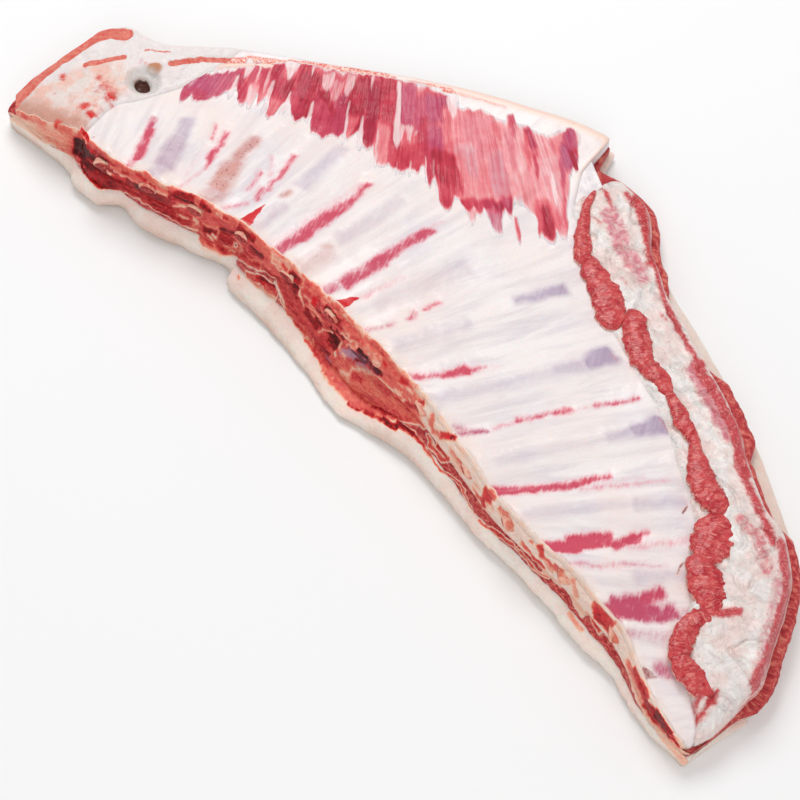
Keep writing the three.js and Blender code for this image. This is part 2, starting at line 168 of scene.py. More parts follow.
def base_top(rib, share):
    """Height of the top: from the sawn edge's to the outer edge's, sagging by 2.5 mm in the middle."""
    level = between(sawn_height(rib), outer_height(rib), smooth(share, -0.1, 1.1))
    return level - 2.5 * np.sin(np.pi * np.clip(share, 0, 1)) * away_from_tips(rib)


def panel_floor(rib, share):
    """Height of the underside of the top pieces: their thickness under the top."""
    inside = between(panel_at_sawn(rib), MIDDLE_THICKNESS, smooth(share, 0, 0.15))
    thickness = between(inside, OUTER_THICKNESS, smooth(share, 0.7, 1))
    return base_top(rib, share) - thickness * between(0.45, 1, away_from_tips(rib))


def lean_floor(rib, share):
    """Height of the underside of the lean: its thickness under that of the top pieces."""
    thickness = between(lean_at_sawn(rib), LEAN_THICKNESS, smooth(share, 0, 0.3))
    return panel_floor(rib, share) - thickness * between(0.5, 1, away_from_tips(rib))


def hills(x, y, seed, layers=3):
    """Seeded random hills one unit wide, 0 to 1: a random number at each whole x and y, blended between them
    by 3t² - 2t³, plus layers that are each half as wide and half as high as the one before."""
    table = np.random.default_rng(seed).random((97, 97))
    total = 0
    weight = 0
    for layer in range(layers):
        u = x * 2**layer + 31.7 * layer
        v = y * 2**layer + 12.9 * layer
        i, j = np.floor(u).astype(int), np.floor(v).astype(int)
        s, t = smooth(u - i, 0, 1), smooth(v - j, 0, 1)
        low = between(table[i % 97, j % 97], table[(i + 1) % 97, j % 97], s)
        high = between(table[i % 97, (j + 1) % 97], table[(i + 1) % 97, (j + 1) % 97], s)
        total = total + between(low, high, t) / 2**layer
        weight += 1 / 2**layer
    return total / weight


def along_slab(first, last, count):
    """Rib numbers, as a column, whose steps are equally long on whichever edge they are longer."""
    fine = np.linspace(first, last, 6000)
    sawn = np.hypot(np.diff(sawn_x(fine)), np.diff(sawn_y(fine)))
    outer = np.hypot(np.diff(outer_x(fine)), np.diff(outer_y(fine)))
    length = np.concatenate([[0], np.cumsum(np.maximum(sawn, outer))])
    return np.interp(np.linspace(0, length[-1], count), length, fine)[:, None]


fine_ribs = np.linspace(FIRST, LAST, 3000)
fine_steps = np.hypot(np.diff(sawn_x(fine_ribs)), np.diff(sawn_y(fine_ribs)))
fine_length = np.concatenate([[0], np.cumsum(fine_steps)])


def sawn_length(rib):
    """Length of the sawn edge from the brisket tip to a rib number."""
    return np.interp(rib, fine_ribs, fine_length)


def bend(points, count):
    """Smooth curves through rows of points (rows x points x numbers): a Catmull-Rom cubic between each two,
    taken at count even places, first and last point included."""
    knots = points.shape[1]
    first = 2 * points[:, :1] - points[:, 1:2]
    last = 2 * points[:, -1:] - points[:, -2:-1]
    longer = np.concatenate([first, points, last], 1)
    place = np.linspace(0, knots - 1, count)
    i = np.minimum(place.astype(int), knots - 2)
    t = (place - i)[None, :, None]
    a, b, c, d = [longer[:, i + ahead] for ahead in range(4)]
    return b + 0.5 * t * (c - a + t * (2 * a - 5 * b + 4 * c - d + t * (3 * (b - c) + d - a)))


def stack(*columns):
    """Columns of numbers of one height, each rows x 1 or rows x many, side by side."""
    rows = max(np.shape(c)[0] for c in columns)
    return np.concatenate([np.broadcast_to(c, (rows, np.shape(c)[1])) for c in columns], 1)


# What the sawn face shows, from the rim down. A place in it is a rib number and a sink: millimetres down the
# face as the eye sees it. Tones: 0 near black, 0.2 dark red, 0.4 red, 0.55 pinkish, 0.7 coral, 0.85 peach and
# 1 fat. First the tone of the meat, and the sink at which the fat under it begins.
CUT_TONE = [
    [-1, 0.84], [-0.4, 0.8], [-0.14, 0.66], [-0.04, 0.2], [0.1, 0.1], [1.1, 0.2], [1.5, 0.34], [2.4, 0.33],
    [2.7, 0.48], [5, 0.5], [6, 0.45], [6.5, 0.58], [7.5, 0.6], [7.95, 0.62], [8.1, 0.9], [12.3, 0.92],
    [12.5, 0.86], [14, 0.8],
]
CUT_END = [
    [-1, 5], [-0.3, 8], [0, 10.4], [0.25, 12], [0.5, 14.4], [0.95, 15], [1.1, 14], [1.3, 11.5], [1.5, 10],
    [1.75, 9.6], [2, 10.2], [2.2, 11.5], [2.8, 12.5], [3, 13.5], [3.14, 14.6], [3.22, 16.6], [3.6, 16.8],
    [3.75, 15], [3.9, 13.5], [4.1, 13], [4.4, 12], [4.6, 10], [4.75, 9.5], [4.9, 11], [5.05, 15.5],
    [5.2, 18], [5.5, 20], [5.7, 21.5], [6.2, 25.5], [6.4, 27], [6.7, 28.4], [7, 28], [7.2, 26], [7.4, 23.5],
    [7.6, 20.5], [7.8, 16], [7.95, 13], [8.2, 9], [14, 7],
]
# Strokes over it: rib, sink, rib, sink, width at the first and at the second, tone, cover, and crimson blood
# in it, or below 0 violet silverskin
CUTS = [
    (-0.55, 1, -0.2, 6, 5, 6, 0.72, 0.6, 0), (-0.3, 8, 0.1, 10.6, 2, 2.4, 0.6, 0.7, 0),
    (-0.3, -2, -0.31, -0.6, 1.8, 1.4, 0.4, 1, 0.8), (-0.05, 2, -0.02, 8, 3.4, 3, 0.04, 0.9, 0),
    (0, 2.6, 0.35, 5, 6, 4, 0.02, 0.9, 0), (0.1, 5, 0.9, 5.5, 3.5, 3, 0.06, 0.8, 0),
    (0.06, -2.4, 0.3, -1, 2, 2.4, 0.2, 1, 0.9), (0.2, 1.4, 0.44, 1, 1, 1, 0.8, 0.9, 0),
    (0.3, 7.2, 1.05, 5, 1.6, 1.2, 0.12, 0.7, 0), (0.28, 2.6, 0.66, 2, 2.2, 2.6, 0.3, 1, 0.7),
    (0.6, 2.2, 1.15, 1.8, 2.8, 2.6, 0.26, 1, 0.6), (0.98, 1.6, 1.12, 2.4, 2.4, 2, 0.14, 1, 0.5),
    (0.5, 0.9, 0.8, 0.7, 0.8, 0.6, 0.7, 0.8, 0), (0.85, 0, 1.08, -0.2, 0.8, 0.8, 0.4, 0.9, 0.4),
    (0.3, 7.8, 0.75, 6.5, 0.6, 0.6, 0.56, 0.8, 0), (0.5, 7, 1.05, 4.4, 0.6, 0.5, 0.5, 0.7, 0),
    (0.75, 9, 1.1, 6, 0.5, 0.5, 0.46, 0.6, 0), (0.3, 8.8, 0.9, 8, 2, 2, 0.16, 0.8, 0),
    (0.05, 9, 0.2, 10, 1.6, 1.6, 0.66, 0.7, 0), (0.38, 10.5, 0.5, 11, 1.3, 1, 0.58, 0.7, 0),
    (0.75, 10, 1.15, 9, 3, 4, 0.34, 0.8, 0.3), (0.55, 12.5, 1.05, 12.3, 4, 5, 0.34, 0.9, 0.4),
    (0.82, 13.5, 1, 13.6, 2.4, 2.6, 0.2, 1, 0.9), (1.12, 4.6, 1.3, 5.6, 0.9, 0.8, 0.9, 0.9, 0),
    (1.16, 5.3, 1.22, 5.7, 1.2, 1, 0.96, 1, 0), (1.2, 2.5, 1.45, 1.5, 1.6, 1.6, 0.72, 0.9, 0),
    (1.25, 6.4, 1.5, 4.6, 2, 1.6, 0.4, 0.95, 0.5), (1.3, 3.2, 1.5, 3.5, 0.9, 0.9, 0.88, 0.9, 0),
    (1.42, 4.2, 1.57, 3, 0.9, 0.8, 0.9, 0.9, 0), (1.5, 1, 1.7, 0, 1.2, 1.4, 0.62, 0.9, 0.2),
    (1.6, 2.2, 2, 0.8, 3, 3, 0.6, 0.9, 0.1), (1.73, 0.5, 1.95, 0.8, 1.4, 1.4, 0.38, 0.9, 0.6),
    (1.5, 3.8, 1.95, 2.9, 0.9, 0.8, 0.84, 0.8, 0), (1.55, 5.2, 2, 4.8, 2.2, 2.4, 0.16, 0.8, 0),
    (2, 0.6, 2.4, 0.8, 2, 2, 0.7, 0.9, 0), (2, 2.6, 2.42, 2.6, 1.5, 1.3, 0.86, 0.85, 0),
    (2.05, 1.2, 2.08, 2.2, 1, 1, 0.2, 0.9, 0.3), (2.15, 1.8, 2.17, 2.6, 0.8, 0.7, 0.28, 0.9, 0.2),
    (2, 5, 2.35, 5.5, 3, 3, 0.2, 0.8, 0), (1.55, 7.6, 2, 8, 1, 1, 0.54, 0.7, 0),
    (2.1, 7.8, 2.5, 9, 1, 1, 0.5, 0.6, 0), (1.6, 9, 2.5, 10.5, 1.6, 1.6, 0.38, 0.6, 0),
    (2.45, -1.6, 3.3, -1.5, 1.2, 1.2, 0.66, 0.9, 0), (2.54, 1, 2.95, -0.5, 3.8, 2.8, 0.26, 1, 0.5),
    (2.95, -0.6, 3.1, 0, 1.6, 1.6, 0.6, 0.9, 0), (3.1, -0.3, 3.28, 0.7, 2.4, 2, 0.24, 1, 0.6),
    (2.55, 3, 2.9, 1.7, 1, 1.2, 0.08, 0.95, 0), (2.9, 1.6, 3.15, 2.8, 1.4, 1.5, 0.04, 0.95, 0),
    (3, 3.6, 3.15, 3.6, 1.2, 1, 0.1, 0.9, 0), (2.55, 6, 2.8, 4.2, 0.8, 1, 0.94, 0.95, 0),
    (2.62, 4.6, 2.8, 3.7, 0.5, 0.6, 0.88, 0.7, 0), (2.5, 9.6, 2.9, 10.6, 2.4, 2.4, 0.34, 0.7, 0.1),
    (2.66, 8.8, 2.86, 8.6, 1.3, 1.1, 0.86, 0.85, 0), (2.6, 8.4, 2.62, 10, 0.7, 0.7, 0.76, 0.7, 0),
    (2.95, 7.4, 3.05, 9, 1.6, 2.2, 0.84, 0.9, 0), (3.02, 6.8, 3.15, 5, 0.9, 0.8, 0.84, 0.8, 0),
    (2.98, 10.5, 3.1, 9.6, 1.6, 1.5, 0.78, 0.8, 0), (2.85, 13, 3.1, 11.6, 0.9, 0.9, 0.92, 0.9, 0),
    (3.15, 7.6, 3.45, 7.2, 1.4, 1.6, 0.76, 0.9, 0), (3.25, 5, 3.45, 5.6, 2, 2, 0.6, 0.7, 0),
    (3.2, 9.6, 3.42, 9.2, 2.6, 2.4, 0.2, 0.9, 0.1), (3.3, 10.6, 3.35, 12, 2, 2, 0.3, 0.7, 0),
    (3.45, 6, 3.49, 10, 0.7, 0.9, 0.84, 0.85, 0), (3.36, 10.4, 3.47, 10.8, 1.5, 1.3, 0.9, 0.95, 0),
    (3.28, 11.6, 3.4, 12.4, 1.4, 1.4, 0.86, 0.85, 0), (3.15, 11.5, 3.2, 13, 0.9, 0.8, 0.76, 0.7, 0),
    (3.15, 14.5, 3.25, 16.6, 2.4, 2.4, 0.62, 0.9, 0), (3.25, 16.8, 3.6, 16.6, 1.6, 1.6, 0.74, 0.85, 0),
    (3.5, 14.6, 3.72, 14.4, 2, 1.8, 0.4, 0.9, 0.2), (3.4, 14, 3.45, 15.6, 0.9, 0.9, 0.8, 0.8, 0),
    (3.6, 17.2, 3.85, 14.6, 1.1, 1, 0.9, 0.9, 0), (3.2, 18.6, 3.6, 18.2, 1, 1, 0.84, 0.8, 0),
    (3.3, 1.5, 3.75, 0.4, 3, 4, 0.62, 0.9, 0), (3.35, 3.2, 3.6, 3.4, 2, 1.8, 0.52, 0.8, 0.2),
    (3.53, 1.2, 3.62, 0.9, 1.1, 1, 0.36, 0.9, 0.5), (3.38, 3, 3.45, 3, 1.2, 1.2, 0.38, 0.8, 0.4),
    (3.36, 0.2, 3.5, 1.6, 0.7, 0.7, 0.86, 0.8, 0), (3.5, 6.6, 3.85, 4.6, 1, 1.4, 0.1, 0.95, 0),
    (3.85, 4.4, 4.1, 3.4, 1.6, 1.2, 0.14, 0.9, 0), (3.55, 7.5, 3.75, 6.2, 1, 1, 0.28, 0.7, 0),
    (3.5, 10, 3.75, 9.6, 3, 2.6, 0.34, 0.9, 0.2), (3.6, 12.5, 3.8, 11.6, 1, 1, 0.76, 0.8, 0),
    (3.7, 13.4, 3.86, 12.5, 0.9, 0.9, 0.86, 0.8, 0), (3.84, 8.6, 3.86, 9.6, 1.8, 2, 0.98, 1, 0),
    (3.8, 10.6, 4, 11.6, 0.9, 0.9, 0.82, 0.8, 0), (3.93, 8.6, 4.03, 10, 2.4, 2.4, 0.78, 0.9, 0),
    (3.85, 7.2, 4.05, 7.6, 0.9, 0.9, 0.88, 0.8, 0), (3.8, -0.6, 4.25, -0.5, 1, 1, 0.72, 0.8, 0),
    (3.88, 1.2, 4.25, 1.2, 2.6, 2.8, 0.2, 1, 0.6), (3.95, 4.9, 4.2, 4.1, 1.2, 1.2, 0.54, 0.8, 0),
    (4, 5.6, 4.1, 8, 2, 2, 0.42, 0.7, 0), (4.19, 4.9, 4.48, 4.9, 1, 1.2, 0.08, 1, 0.1),
    (4.2, 6, 4.45, 6, 1.4, 1.4, 0.3, 0.9, 0.3), (4.27, 1, 4.6, 2.4, 3, 3.4, 0.62, 0.9, 0.1),
    (4.6, 1.2, 5, 1.2, 3.4, 3.2, 0.78, 0.95, 0), (4.87, 1.2, 4.97, 1.6, 1.1, 1, 0.36, 0.9, 0.4),
    (4.65, 3.5, 4.97, 3.8, 1.2, 1.2, 0.88, 0.9, 0), (4.62, 5.2, 4.9, 4.8, 0.9, 0.9, 0.7, 0.8, 0),
    (4.5, 8.6, 5.2, 6.7, 2.2, 2.4, 0.34, 0.8, 0.1), (4.3, 8.6, 4.9, 6.2, 0.9, 0.9, 0.72, 0.8, 0),
    (4.35, 7.2, 4.7, 5.8, 0.8, 0.8, 0.66, 0.7, 0), (4.1, 10.6, 4.45, 9.4, 1.8, 1.8, 0.4, 0.8, 0.3),
    (4.05, 12, 4.2, 12, 1.4, 1.4, 0.4, 0.8, 0.3), (4.18, 9.8, 4.3, 9.3, 0.7, 0.7, 0.84, 0.8, 0),
    (4.45, 9, 4.47, 10.6, 0.7, 0.7, 0.86, 0.8, 0), (4.3, 16.4, 4.55, 14.8, 2.4, 3, 0.5, 0.95, 0.1),
    (4.5, 14.4, 4.85, 13, 3, 3, 0.36, 1, 0.5), (4.7, 14.8, 4.95, 14.2, 3, 3.2, 0.52, 0.9, 0),
    (4.55, 13.4, 4.85, 12.2, 0.8, 1, 0.12, 0.95, 0), (4.3, 17.4, 4.55, 17.6, 2, 1.4, 0.64, 0.85, 0),
    (4.55, 17.6, 4.95, 16.4, 1.1, 1, 0.7, 0.8, 0), (4.18, 19.5, 4.24, 21, 1, 1, 0.5, 0.7, 0),
    (4.1, 13.4, 4.5, 12.2, 1.2, 1.2, 0.97, 1, 0), (4.5, 11.4, 4.8, 10, 1.7, 1.6, 1, 1, 0),
    (4.8, 10.6, 5, 13, 1.1, 1.1, 0.92, 1, 0), (5, 13.2, 5.1, 15.8, 1.1, 1.1, 0.93, 0.95, 0),
    (5.1, 16, 5.4, 19.4, 1.1, 1, 0.9, 0.9, 0), (5.4, 19.6, 5.75, 21, 1, 0.9, 0.88, 0.8, 0),
    (5, 0.2, 5.3, 0.3, 1, 1, 0.72, 0.9, 0), (5.08, 2.2, 5.25, 2.6, 2.8, 2.8, 0.14, 1, 0.7),
    (5.31, 1, 5.33, 4, 0.9, 0.9, 0.84, 0.8, 0), (4.98, 5, 5.3, 5.4, 1, 1.2, 0.03, 1, 0),
    (5, 6.6, 5.28, 6.8, 1.4, 1.8, 0.26, 0.8, 0.1), (5.2, 6.4, 5.28, 9, 1.4, 2, 0.16, 0.8, 0),
    (5.3, 4.4, 5.34, 7.5, 0.9, 1, 0.92, 0.95, 0), (5.34, 7.6, 5.46, 9.8, 0.9, 0.8, 0.88, 0.9, 0),
    (5.35, 3, 5.6, 1.6, 3, 2.6, 0.62, 0.9, 0.1), (5.38, 4.4, 5.5, 3.6, 2, 2, 0.42, 0.9, 0.4),
    (5.4, 6.1, 5.56, 5.5, 0.9, 0.9, 0.86, 0.9, 0), (5.45, 7.1, 5.55, 7.2, 0.7, 0.7, 0.2, 0.9, 0),
    (5.55, 6.8, 5.7, 7.2, 1, 0.9, 0.86, 0.9, 0), (5.5, 8.5, 5.85, 8.1, 0.9, 0.9, 0.82, 0.85, 0),
    (5.6, 9.7, 5.9, 8.8, 0.8, 0.8, 0.8, 0.8, 0), (5.7, 6.9, 5.92, 7.1, 0.9, 0.9, 0.14, 0.95, 0),
    (5.6, 3.4, 5.66, 6, 3, 2, 0.4, 1, 1), (5.7, 1, 5.85, 1.4, 2.4, 2.4, 0.7, 0.9, 0.1),
    (5.78, 4.4, 5.84, 6, 1.2, 1.2, 0.72, 0.8, 0), (5.9, 1.3, 6.2, 1.5, 1, 1, 0.7, 0.8, 0),
    (5.86, 3.2, 6.2, 4, 3, 3.2, 0.17, 1, 0.6), (5.85, 5, 6.1, 5.7, 0.9, 0.9, 0.6, 0.8, 0),
    (5.05, 11, 5.3, 14, 3, 3, 0.44, 0.6, 0), (5.2, 17, 5.7, 18.4, 2, 2, 0.5, 0.7, 0),
    (5.2, 15.4, 5.65, 16, 1, 1, 0.36, 0.6, 0), (5.4, 13.6, 5.7, 14.4, 0.7, 0.7, 0.66, 0.5, 0),
    (5.5, 11, 5.85, 12.6, 3, 3, 0.22, 0.8, 0), (5.75, 9.8, 5.9, 11.4, 2, 2, 0.15, 0.8, 0),
    (6.05, 10, 6.3, 12.5, 4, 4, 0.09, 0.9, 0), (6.1, 13.8, 6.3, 14.6, 3, 2.6, 0.18, 0.8, 0),
    (5.94, 11.8, 6.12, 10, 0.7, 1, 0.9, 0.95, 0), (5.9, 14.2, 5.95, 12.6, 1, 0.7, 0.88, 0.9, 0),
    (5.9, 19, 6.2, 17, 2, 3, 0.36, 0.7, 0.3), (5.7, 19.6, 5.85, 21, 1.6, 1.6, 0.76, 0.85, 0),
    (5.85, 19, 5.9, 21.5, 0.9, 0.9, 0.86, 0.85, 0), (5.68, 22.5, 5.71, 20.4, 0.9, 0.9, 0.88, 0.85, 0),
    (5.95, 21, 6.15, 23, 0.9, 0.9, 0.76, 0.7, 0), (5.9, 21.4, 5.97, 22, 1, 1, 0.3, 0.6, 0),
    (6.2, 7.8, 6.36, 8.5, 1, 1, 0.08, 1, 0), (6.2, 4.6, 6.28, 5.6, 1.6, 1.4, 0.32, 0.9, 0.6),
    (6.3, 3.6, 6.5, 4.4, 1.6, 1.4, 0.68, 0.9, 0), (6.3, 6.8, 6.5, 6.4, 1.1, 1, 0.9, 0.9, 0),
    (6.35, 5, 6.43, 5.3, 0.9, 0.8, 0.88, 0.8, 0), (6.47, 5, 6.62, 4, 1.4, 1.4, 0.48, 0.95, 0.3),
    (6.5, 5.9, 6.63, 5.2, 0.6, 0.6, 0.92, 0.95, 0), (6.55, 2, 6.7, 1.2, 1.1, 1, 0.72, 0.8, 0),
    (6.75, 3.6, 7.1, 3, 4, 3.8, 0.71, 1, 0), (6.48, 9, 6.75, 6, 2, 2.4, 0.74, 0.95, 0),
    (6.42, 10.8, 6.5, 8.6, 0.7, 1.4, 0.8, 0.9, 0), (6.8, 5.8, 7.2, 5.4, 1.2, 1.2, 0.66, 0.9, 0),
    (6.5, 11.2, 6.9, 9.4, 3.4, 3.2, 0.15, 1, -0.8), (6.4, 13.4, 6.72, 12.4, 3, 3, 0.6, 0.95, -0.9),
    (6.68, 7.4, 7.22, 7.5, 1.8, 1.6, 0, 1, 0), (6.9, 9, 7.15, 8.6, 1.4, 1.4, 0.06, 0.9, -0.3),
    (6.66, 13.4, 7.02, 10.6, 1.5, 1.7, 0.22, 0.9, 0), (6.32, 12.4, 6.52, 15.2, 0.9, 0.8, 0.9, 0.9, 0),
    (6.72, 14.4, 6.98, 12.4, 1.4, 1.2, 0.66, 0.9, -0.7), (6.7, 16.6, 7.05, 12.8, 1.3, 1.1, 0.84, 0.95, 0),
    (7.05, 12, 7.25, 10.2, 1.1, 0.9, 0.86, 0.9, 0), (7.15, 10, 7.5, 9.2, 1, 0.9, 0.88, 0.95, 0),
    (6.32, 10.6, 6.34, 12, 1.1, 1.1, 0.9, 0.9, 0), (6.33, 15.4, 6.36, 17, 1.3, 1.2, 0.9, 0.9, 0),
    (6.85, 20, 7.6, 13, 1.2, 1.2, 0.64, 0.7, 0), (7, 22, 7.7, 15, 1.1, 1, 0.44, 0.7, 0),
    (6.75, 18.4, 6.95, 17, 2.2, 2, 0.4, 0.85, 0.1), (6.8, 20.6, 7.1, 18.5, 1, 1, 0.7, 0.6, 0),
    (7.15, 12.4, 7.5, 10.8, 1, 1, 0.38, 0.7, 0), (7.12, 13.8, 7.45, 12.2, 1.2, 1.2, 0.46, 0.7, 0),
    (7, 16, 7.45, 14.4, 2, 2, 0.66, 0.7, 0), (7.1, 19.4, 7.5, 16.4, 0.9, 0.9, 0.5, 0.6, 0),
    (7.5, 11, 7.8, 9.6, 1.2, 1, 0.46, 0.7, 0), (6.05, 19, 6.25, 18.6, 2, 2, 0.2, 0.8, 0.2),
    (6.2, 20.4, 6.32, 21, 2, 2, 0.4, 0.8, -0.6), (6.55, 20.6, 6.72, 19.4, 2.4, 2.4, 0.82, 0.85, 0),
    (6.44, 21.2, 6.5, 20.8, 0.9, 0.9, 0.26, 0.8, 0), (6.4, 19, 6.62, 18, 1.1, 1, 0.64, 0.8, 0),
    (6.72, 18, 6.76, 22, 2, 2.2, 0.8, 0.7, 0), (6.35, 23, 6.7, 21.6, 1, 1, 0.78, 0.7, 0),
    (6.3, 26, 6.9, 27, 2, 2, 0.62, 0.8, 0), (6.35, 28.4, 6.95, 28.4, 0.9, 0.9, 0.88, 0.9, 0),
    (6.5, 25, 6.52, 26, 0.9, 0.9, 0.84, 0.8, 0), (6.8, 24, 6.9, 25.4, 1, 1, 0.72, 0.7, 0),
    (6.2, 24.5, 6.32, 25.5, 1, 1, 0.74, 0.7, 0), (7.3, 22, 7.7, 16.6, 2, 1.8, 0.32, 0.8, 0),
    (7.7, 16.4, 7.92, 12, 2, 2, 0.46, 0.8, 0), (7.6, 18.6, 7.8, 17.2, 0.8, 0.8, 0.74, 0.7, 0),
    (7, 28.4, 7.3, 25.6, 0.9, 1, 0.2, 0.9, 0), (7.3, 25.6, 7.6, 21.8, 1.6, 2, 0.24, 0.9, 0),
    (7.6, 21.2, 7.85, 19, 2.4, 2.2, 0.18, 0.95, 0), (7.8, 17.6, 8.1, 15, 2.6, 2.4, 0.2, 0.95, 0),
    (8.1, 14.8, 8.3, 15.4, 2, 1.2, 0.3, 0.9, 0), (8.3, 15.7, 8.65, 15, 0.9, 0.9, 0.52, 0.95, 0),
    (8.65, 15, 8.95, 11.7, 1, 1.1, 0.44, 0.95, 0), (8.95, 11.4, 9.1, 11.3, 0.9, 0.9, 0.46, 0.9, 0),
    (9.1, 11.6, 9.25, 13, 0.9, 1.1, 0.58, 0.9, 0), (9.25, 13.2, 9.42, 13.6, 1, 0.9, 0.6, 0.9, 0),
    (9.55, 14, 9.7, 13.5, 1, 1.1, 0.54, 0.9, 0), (9.7, 13.4, 9.95, 10.8, 1.1, 1.1, 0.46, 0.95, 0),
    (9.95, 10.4, 10.2, 9.7, 1.5, 1.5, 0.42, 0.95, 0.1), (10.2, 10, 10.35, 11, 1, 0.8, 0.6, 0.8, 0),
    (10.3, 9.8, 10.55, 11, 1.1, 1.1, 0.5, 0.9, 0), (10.55, 11.2, 10.8, 10.3, 1, 0.9, 0.6, 0.8, 0),
    (7.15, 3, 7.25, 3.2, 2, 2, 0.46, 0.9, 0.8), (7.25, 4, 7.45, 3.6, 3, 2.6, 0.6, 0.9, 0.1),
    (7.3, 5.6, 7.42, 5.4, 1.2, 1.2, 0.48, 0.8, 0.2), (7.5, 2.8, 7.63, 1, 3, 2.4, 0.42, 0.95, 0.5),
    (7.5, 4.4, 7.62, 3.9, 1.2, 1, 0.8, 0.8, 0), (7.65, 3, 7.8, 2.4, 1.6, 1.6, 0.86, 0.8, 0),
    (7.5, 7.6, 7.8, 5.6, 1, 1, 0.88, 0.9, 0), (7.45, 9, 7.66, 7.6, 0.9, 0.9, 0.88, 0.9, 0),
    (7.75, 8, 7.95, 5.6, 1.6, 1.4, 0.28, 0.9, 0), (7.9, 5.6, 8.02, 1, 1.4, 1.8, 0.38, 0.9, 0.1),
    (7.68, 9, 7.74, 7, 1, 1, 0.94, 0.95, 0), (7.64, 6.5, 7.78, 6, 0.9, 0.9, 0.4, 0.7, 0),
    (7.82, 3.6, 7.9, 2, 0.9, 0.9, 0.7, 0.8, 0), (8.08, 2, 8.13, 5.2, 1.1, 1.1, 0.95, 0.9, 0),
    (8.02, 10, 8.12, 9.6, 1.4, 1.2, 0.58, 0.8, 0), (8.2, 1, 8.26, 4, 1.6, 2, 0.62, 0.9, 0),
    (8.2, 4, 8.3, 6.6, 2.4, 2, 0.6, 0.9, 0.1), (8.62, -1.2, 8.56, 1, 2, 2.2, 0.12, 1, 0.6),
    (8.56, 1, 8.42, 4, 2.2, 3, 0.4, 1, 0.6), (8.4, 4.4, 8.3, 6.4, 2.4, 1.2, 0.62, 0.9, 0.2),
    (8.65, 4.6, 8.95, 4.6, 2.6, 2.6, 0.7, 0.9, 0), (8.8, 4.6, 8.9, 4.1, 1.2, 1, 0.56, 0.8, 0),
    (8.7, 6.8, 8.95, 6.6, 1.2, 1, 0.76, 0.8, 0), (8.22, 10.4, 8.35, 12.6, 1.3, 1.4, 0.5, 0.95, 0.1),
    (8.35, 12.8, 8.6, 11.6, 1.4, 2, 0.5, 0.95, 0.1), (8.6, 11, 8.66, 8.2, 1.6, 1.6, 0.5, 0.95, 0.1),
    (8.4, 10, 8.6, 8.8, 2, 2, 0.48, 0.95, 0.1), (8.3, 11.4, 8.52, 10.7, 0.8, 0.8, 0.74, 0.7, 0),
    (9.42, 3, 9.62, 2, 5, 5, 0.46, 1, 0.4), (9.5, 0.5, 9.66, 0.2, 3, 2.4, 0.56, 0.9, 0.2),
    (9.44, 5.4, 9.52, 7.6, 3.4, 2.4, 0.38, 1, 0.5), (9.3, 7, 9.45, 6.8, 2.2, 2, 0.5, 0.9, 0.2),
    (9.2, 6.8, 9.3, 6.6, 1.4, 1.4, 0.62, 0.85, 0), (9.55, 6.2, 9.67, 4.8, 0.9, 0.9, 0.8, 0.85, 0),
    (9.56, 8.2, 9.7, 6.6, 1, 0.8, 0.76, 0.7, 0), (9.2, 4.6, 9.35, 3.4, 1, 1, 0.72, 0.8, 0),
    (9.64, 3, 9.72, 4.4, 1.4, 1.4, 0.62, 0.8, 0.1), (9.82, 1.4, 9.98, 1, 2.4, 2.4, 0.62, 0.9, 0.1),
    (10, 1, 10.12, 2.4, 1, 1.6, 0.62, 0.8, 0), (9.8, 3.1, 10.1, 3.4, 1, 1, 0.8, 0.7, 0),
    (10.3, 5.6, 10.5, 6.8, 1.6, 1.8, 0.56, 0.9, 0.1), (10.55, 1, 10.64, 4, 2.6, 2.4, 0.5, 1, 0.4),
    (10.5, 7.6, 10.7, 7.6, 1.8, 1.6, 0.44, 0.95, 0.4), (10.66, 4, 10.9, 3.6, 1.4, 1.4, 0.5, 0.9, 0.2),
    (10.7, 5, 10.85, 5.6, 1, 1, 0.68, 0.8, 0), (10.85, 3, 11, 2.4, 2.2, 2.2, 0.56, 0.95, 0.1),
    (11, 2.8, 11.1, 3.4, 1.6, 1.4, 0.52, 0.9, 0.1), (10.42, 2, 10.47, 1.8, 1, 0.9, 0.6, 0.8, 0),
    (10.7, 9, 11, 8, 2, 2, 0.8, 0.7, 0), (11.15, 1, 11.3, 6, 3, 3, 0.73, 0.85, 0),
    (11.2, 8, 11.5, 10, 3, 3, 0.8, 0.7, 0), (11.3, 14, 11.6, 14.6, 2, 2.4, 0.7, 0.8, 0),
    (11.55, 3, 11.95, 2, 4, 4.6, 0.5, 1, 0.3), (11.6, 4, 11.95, 4, 4, 4, 0.44, 1, 0.4),
    (11.62, 5.4, 11.82, 4.6, 3.4, 3, 0.3, 1, 0.7), (11.6, 8.6, 11.8, 9.2, 1.6, 1.6, 0.5, 0.9, 0.2),
    (11.5, 7.6, 11.65, 8.6, 1.2, 1.2, 0.68, 0.8, 0), (11.95, 4.4, 12.06, 4.2, 2.4, 1.6, 0.56, 0.9, 0.1),
    (12, 5.6, 12.12, 4.8, 0.7, 0.7, 0.9, 0.9, 0), (12.42, 4.4, 12.7, 3.4, 2.6, 3.4, 0.6, 0.9, 0),
    (12.6, 2.6, 13, 2.2, 3.8, 4.2, 0.46, 1, 0.1), (12.8, 2, 13, 2.4, 2, 2, 0.34, 0.9, 0.3),
    (13, 4, 13.3, 2.6, 3.4, 4, 0.3, 1, 0), (13.2, 2, 13.55, 1.4, 4.2, 3.6, 0.2, 1, 0),
    (13.45, 1.6, 13.78, 1.4, 3, 1, 0.28, 0.95, 0), (12.5, 5.3, 13, 5.6, 0.9, 0.9, 0.66, 0.8, 0),
    (13, 6.1, 13.25, 5.1, 0.9, 0.8, 0.18, 0.8, 0), (13.55, 1.6, 13.7, 0.6, 0.8, 0.8, 0.7, 0.6, 0),
]
# Sink for each millimetre out from the sawn edge, and for each down
SINK_REACH = 0.82
SINK_DROP = 0.57

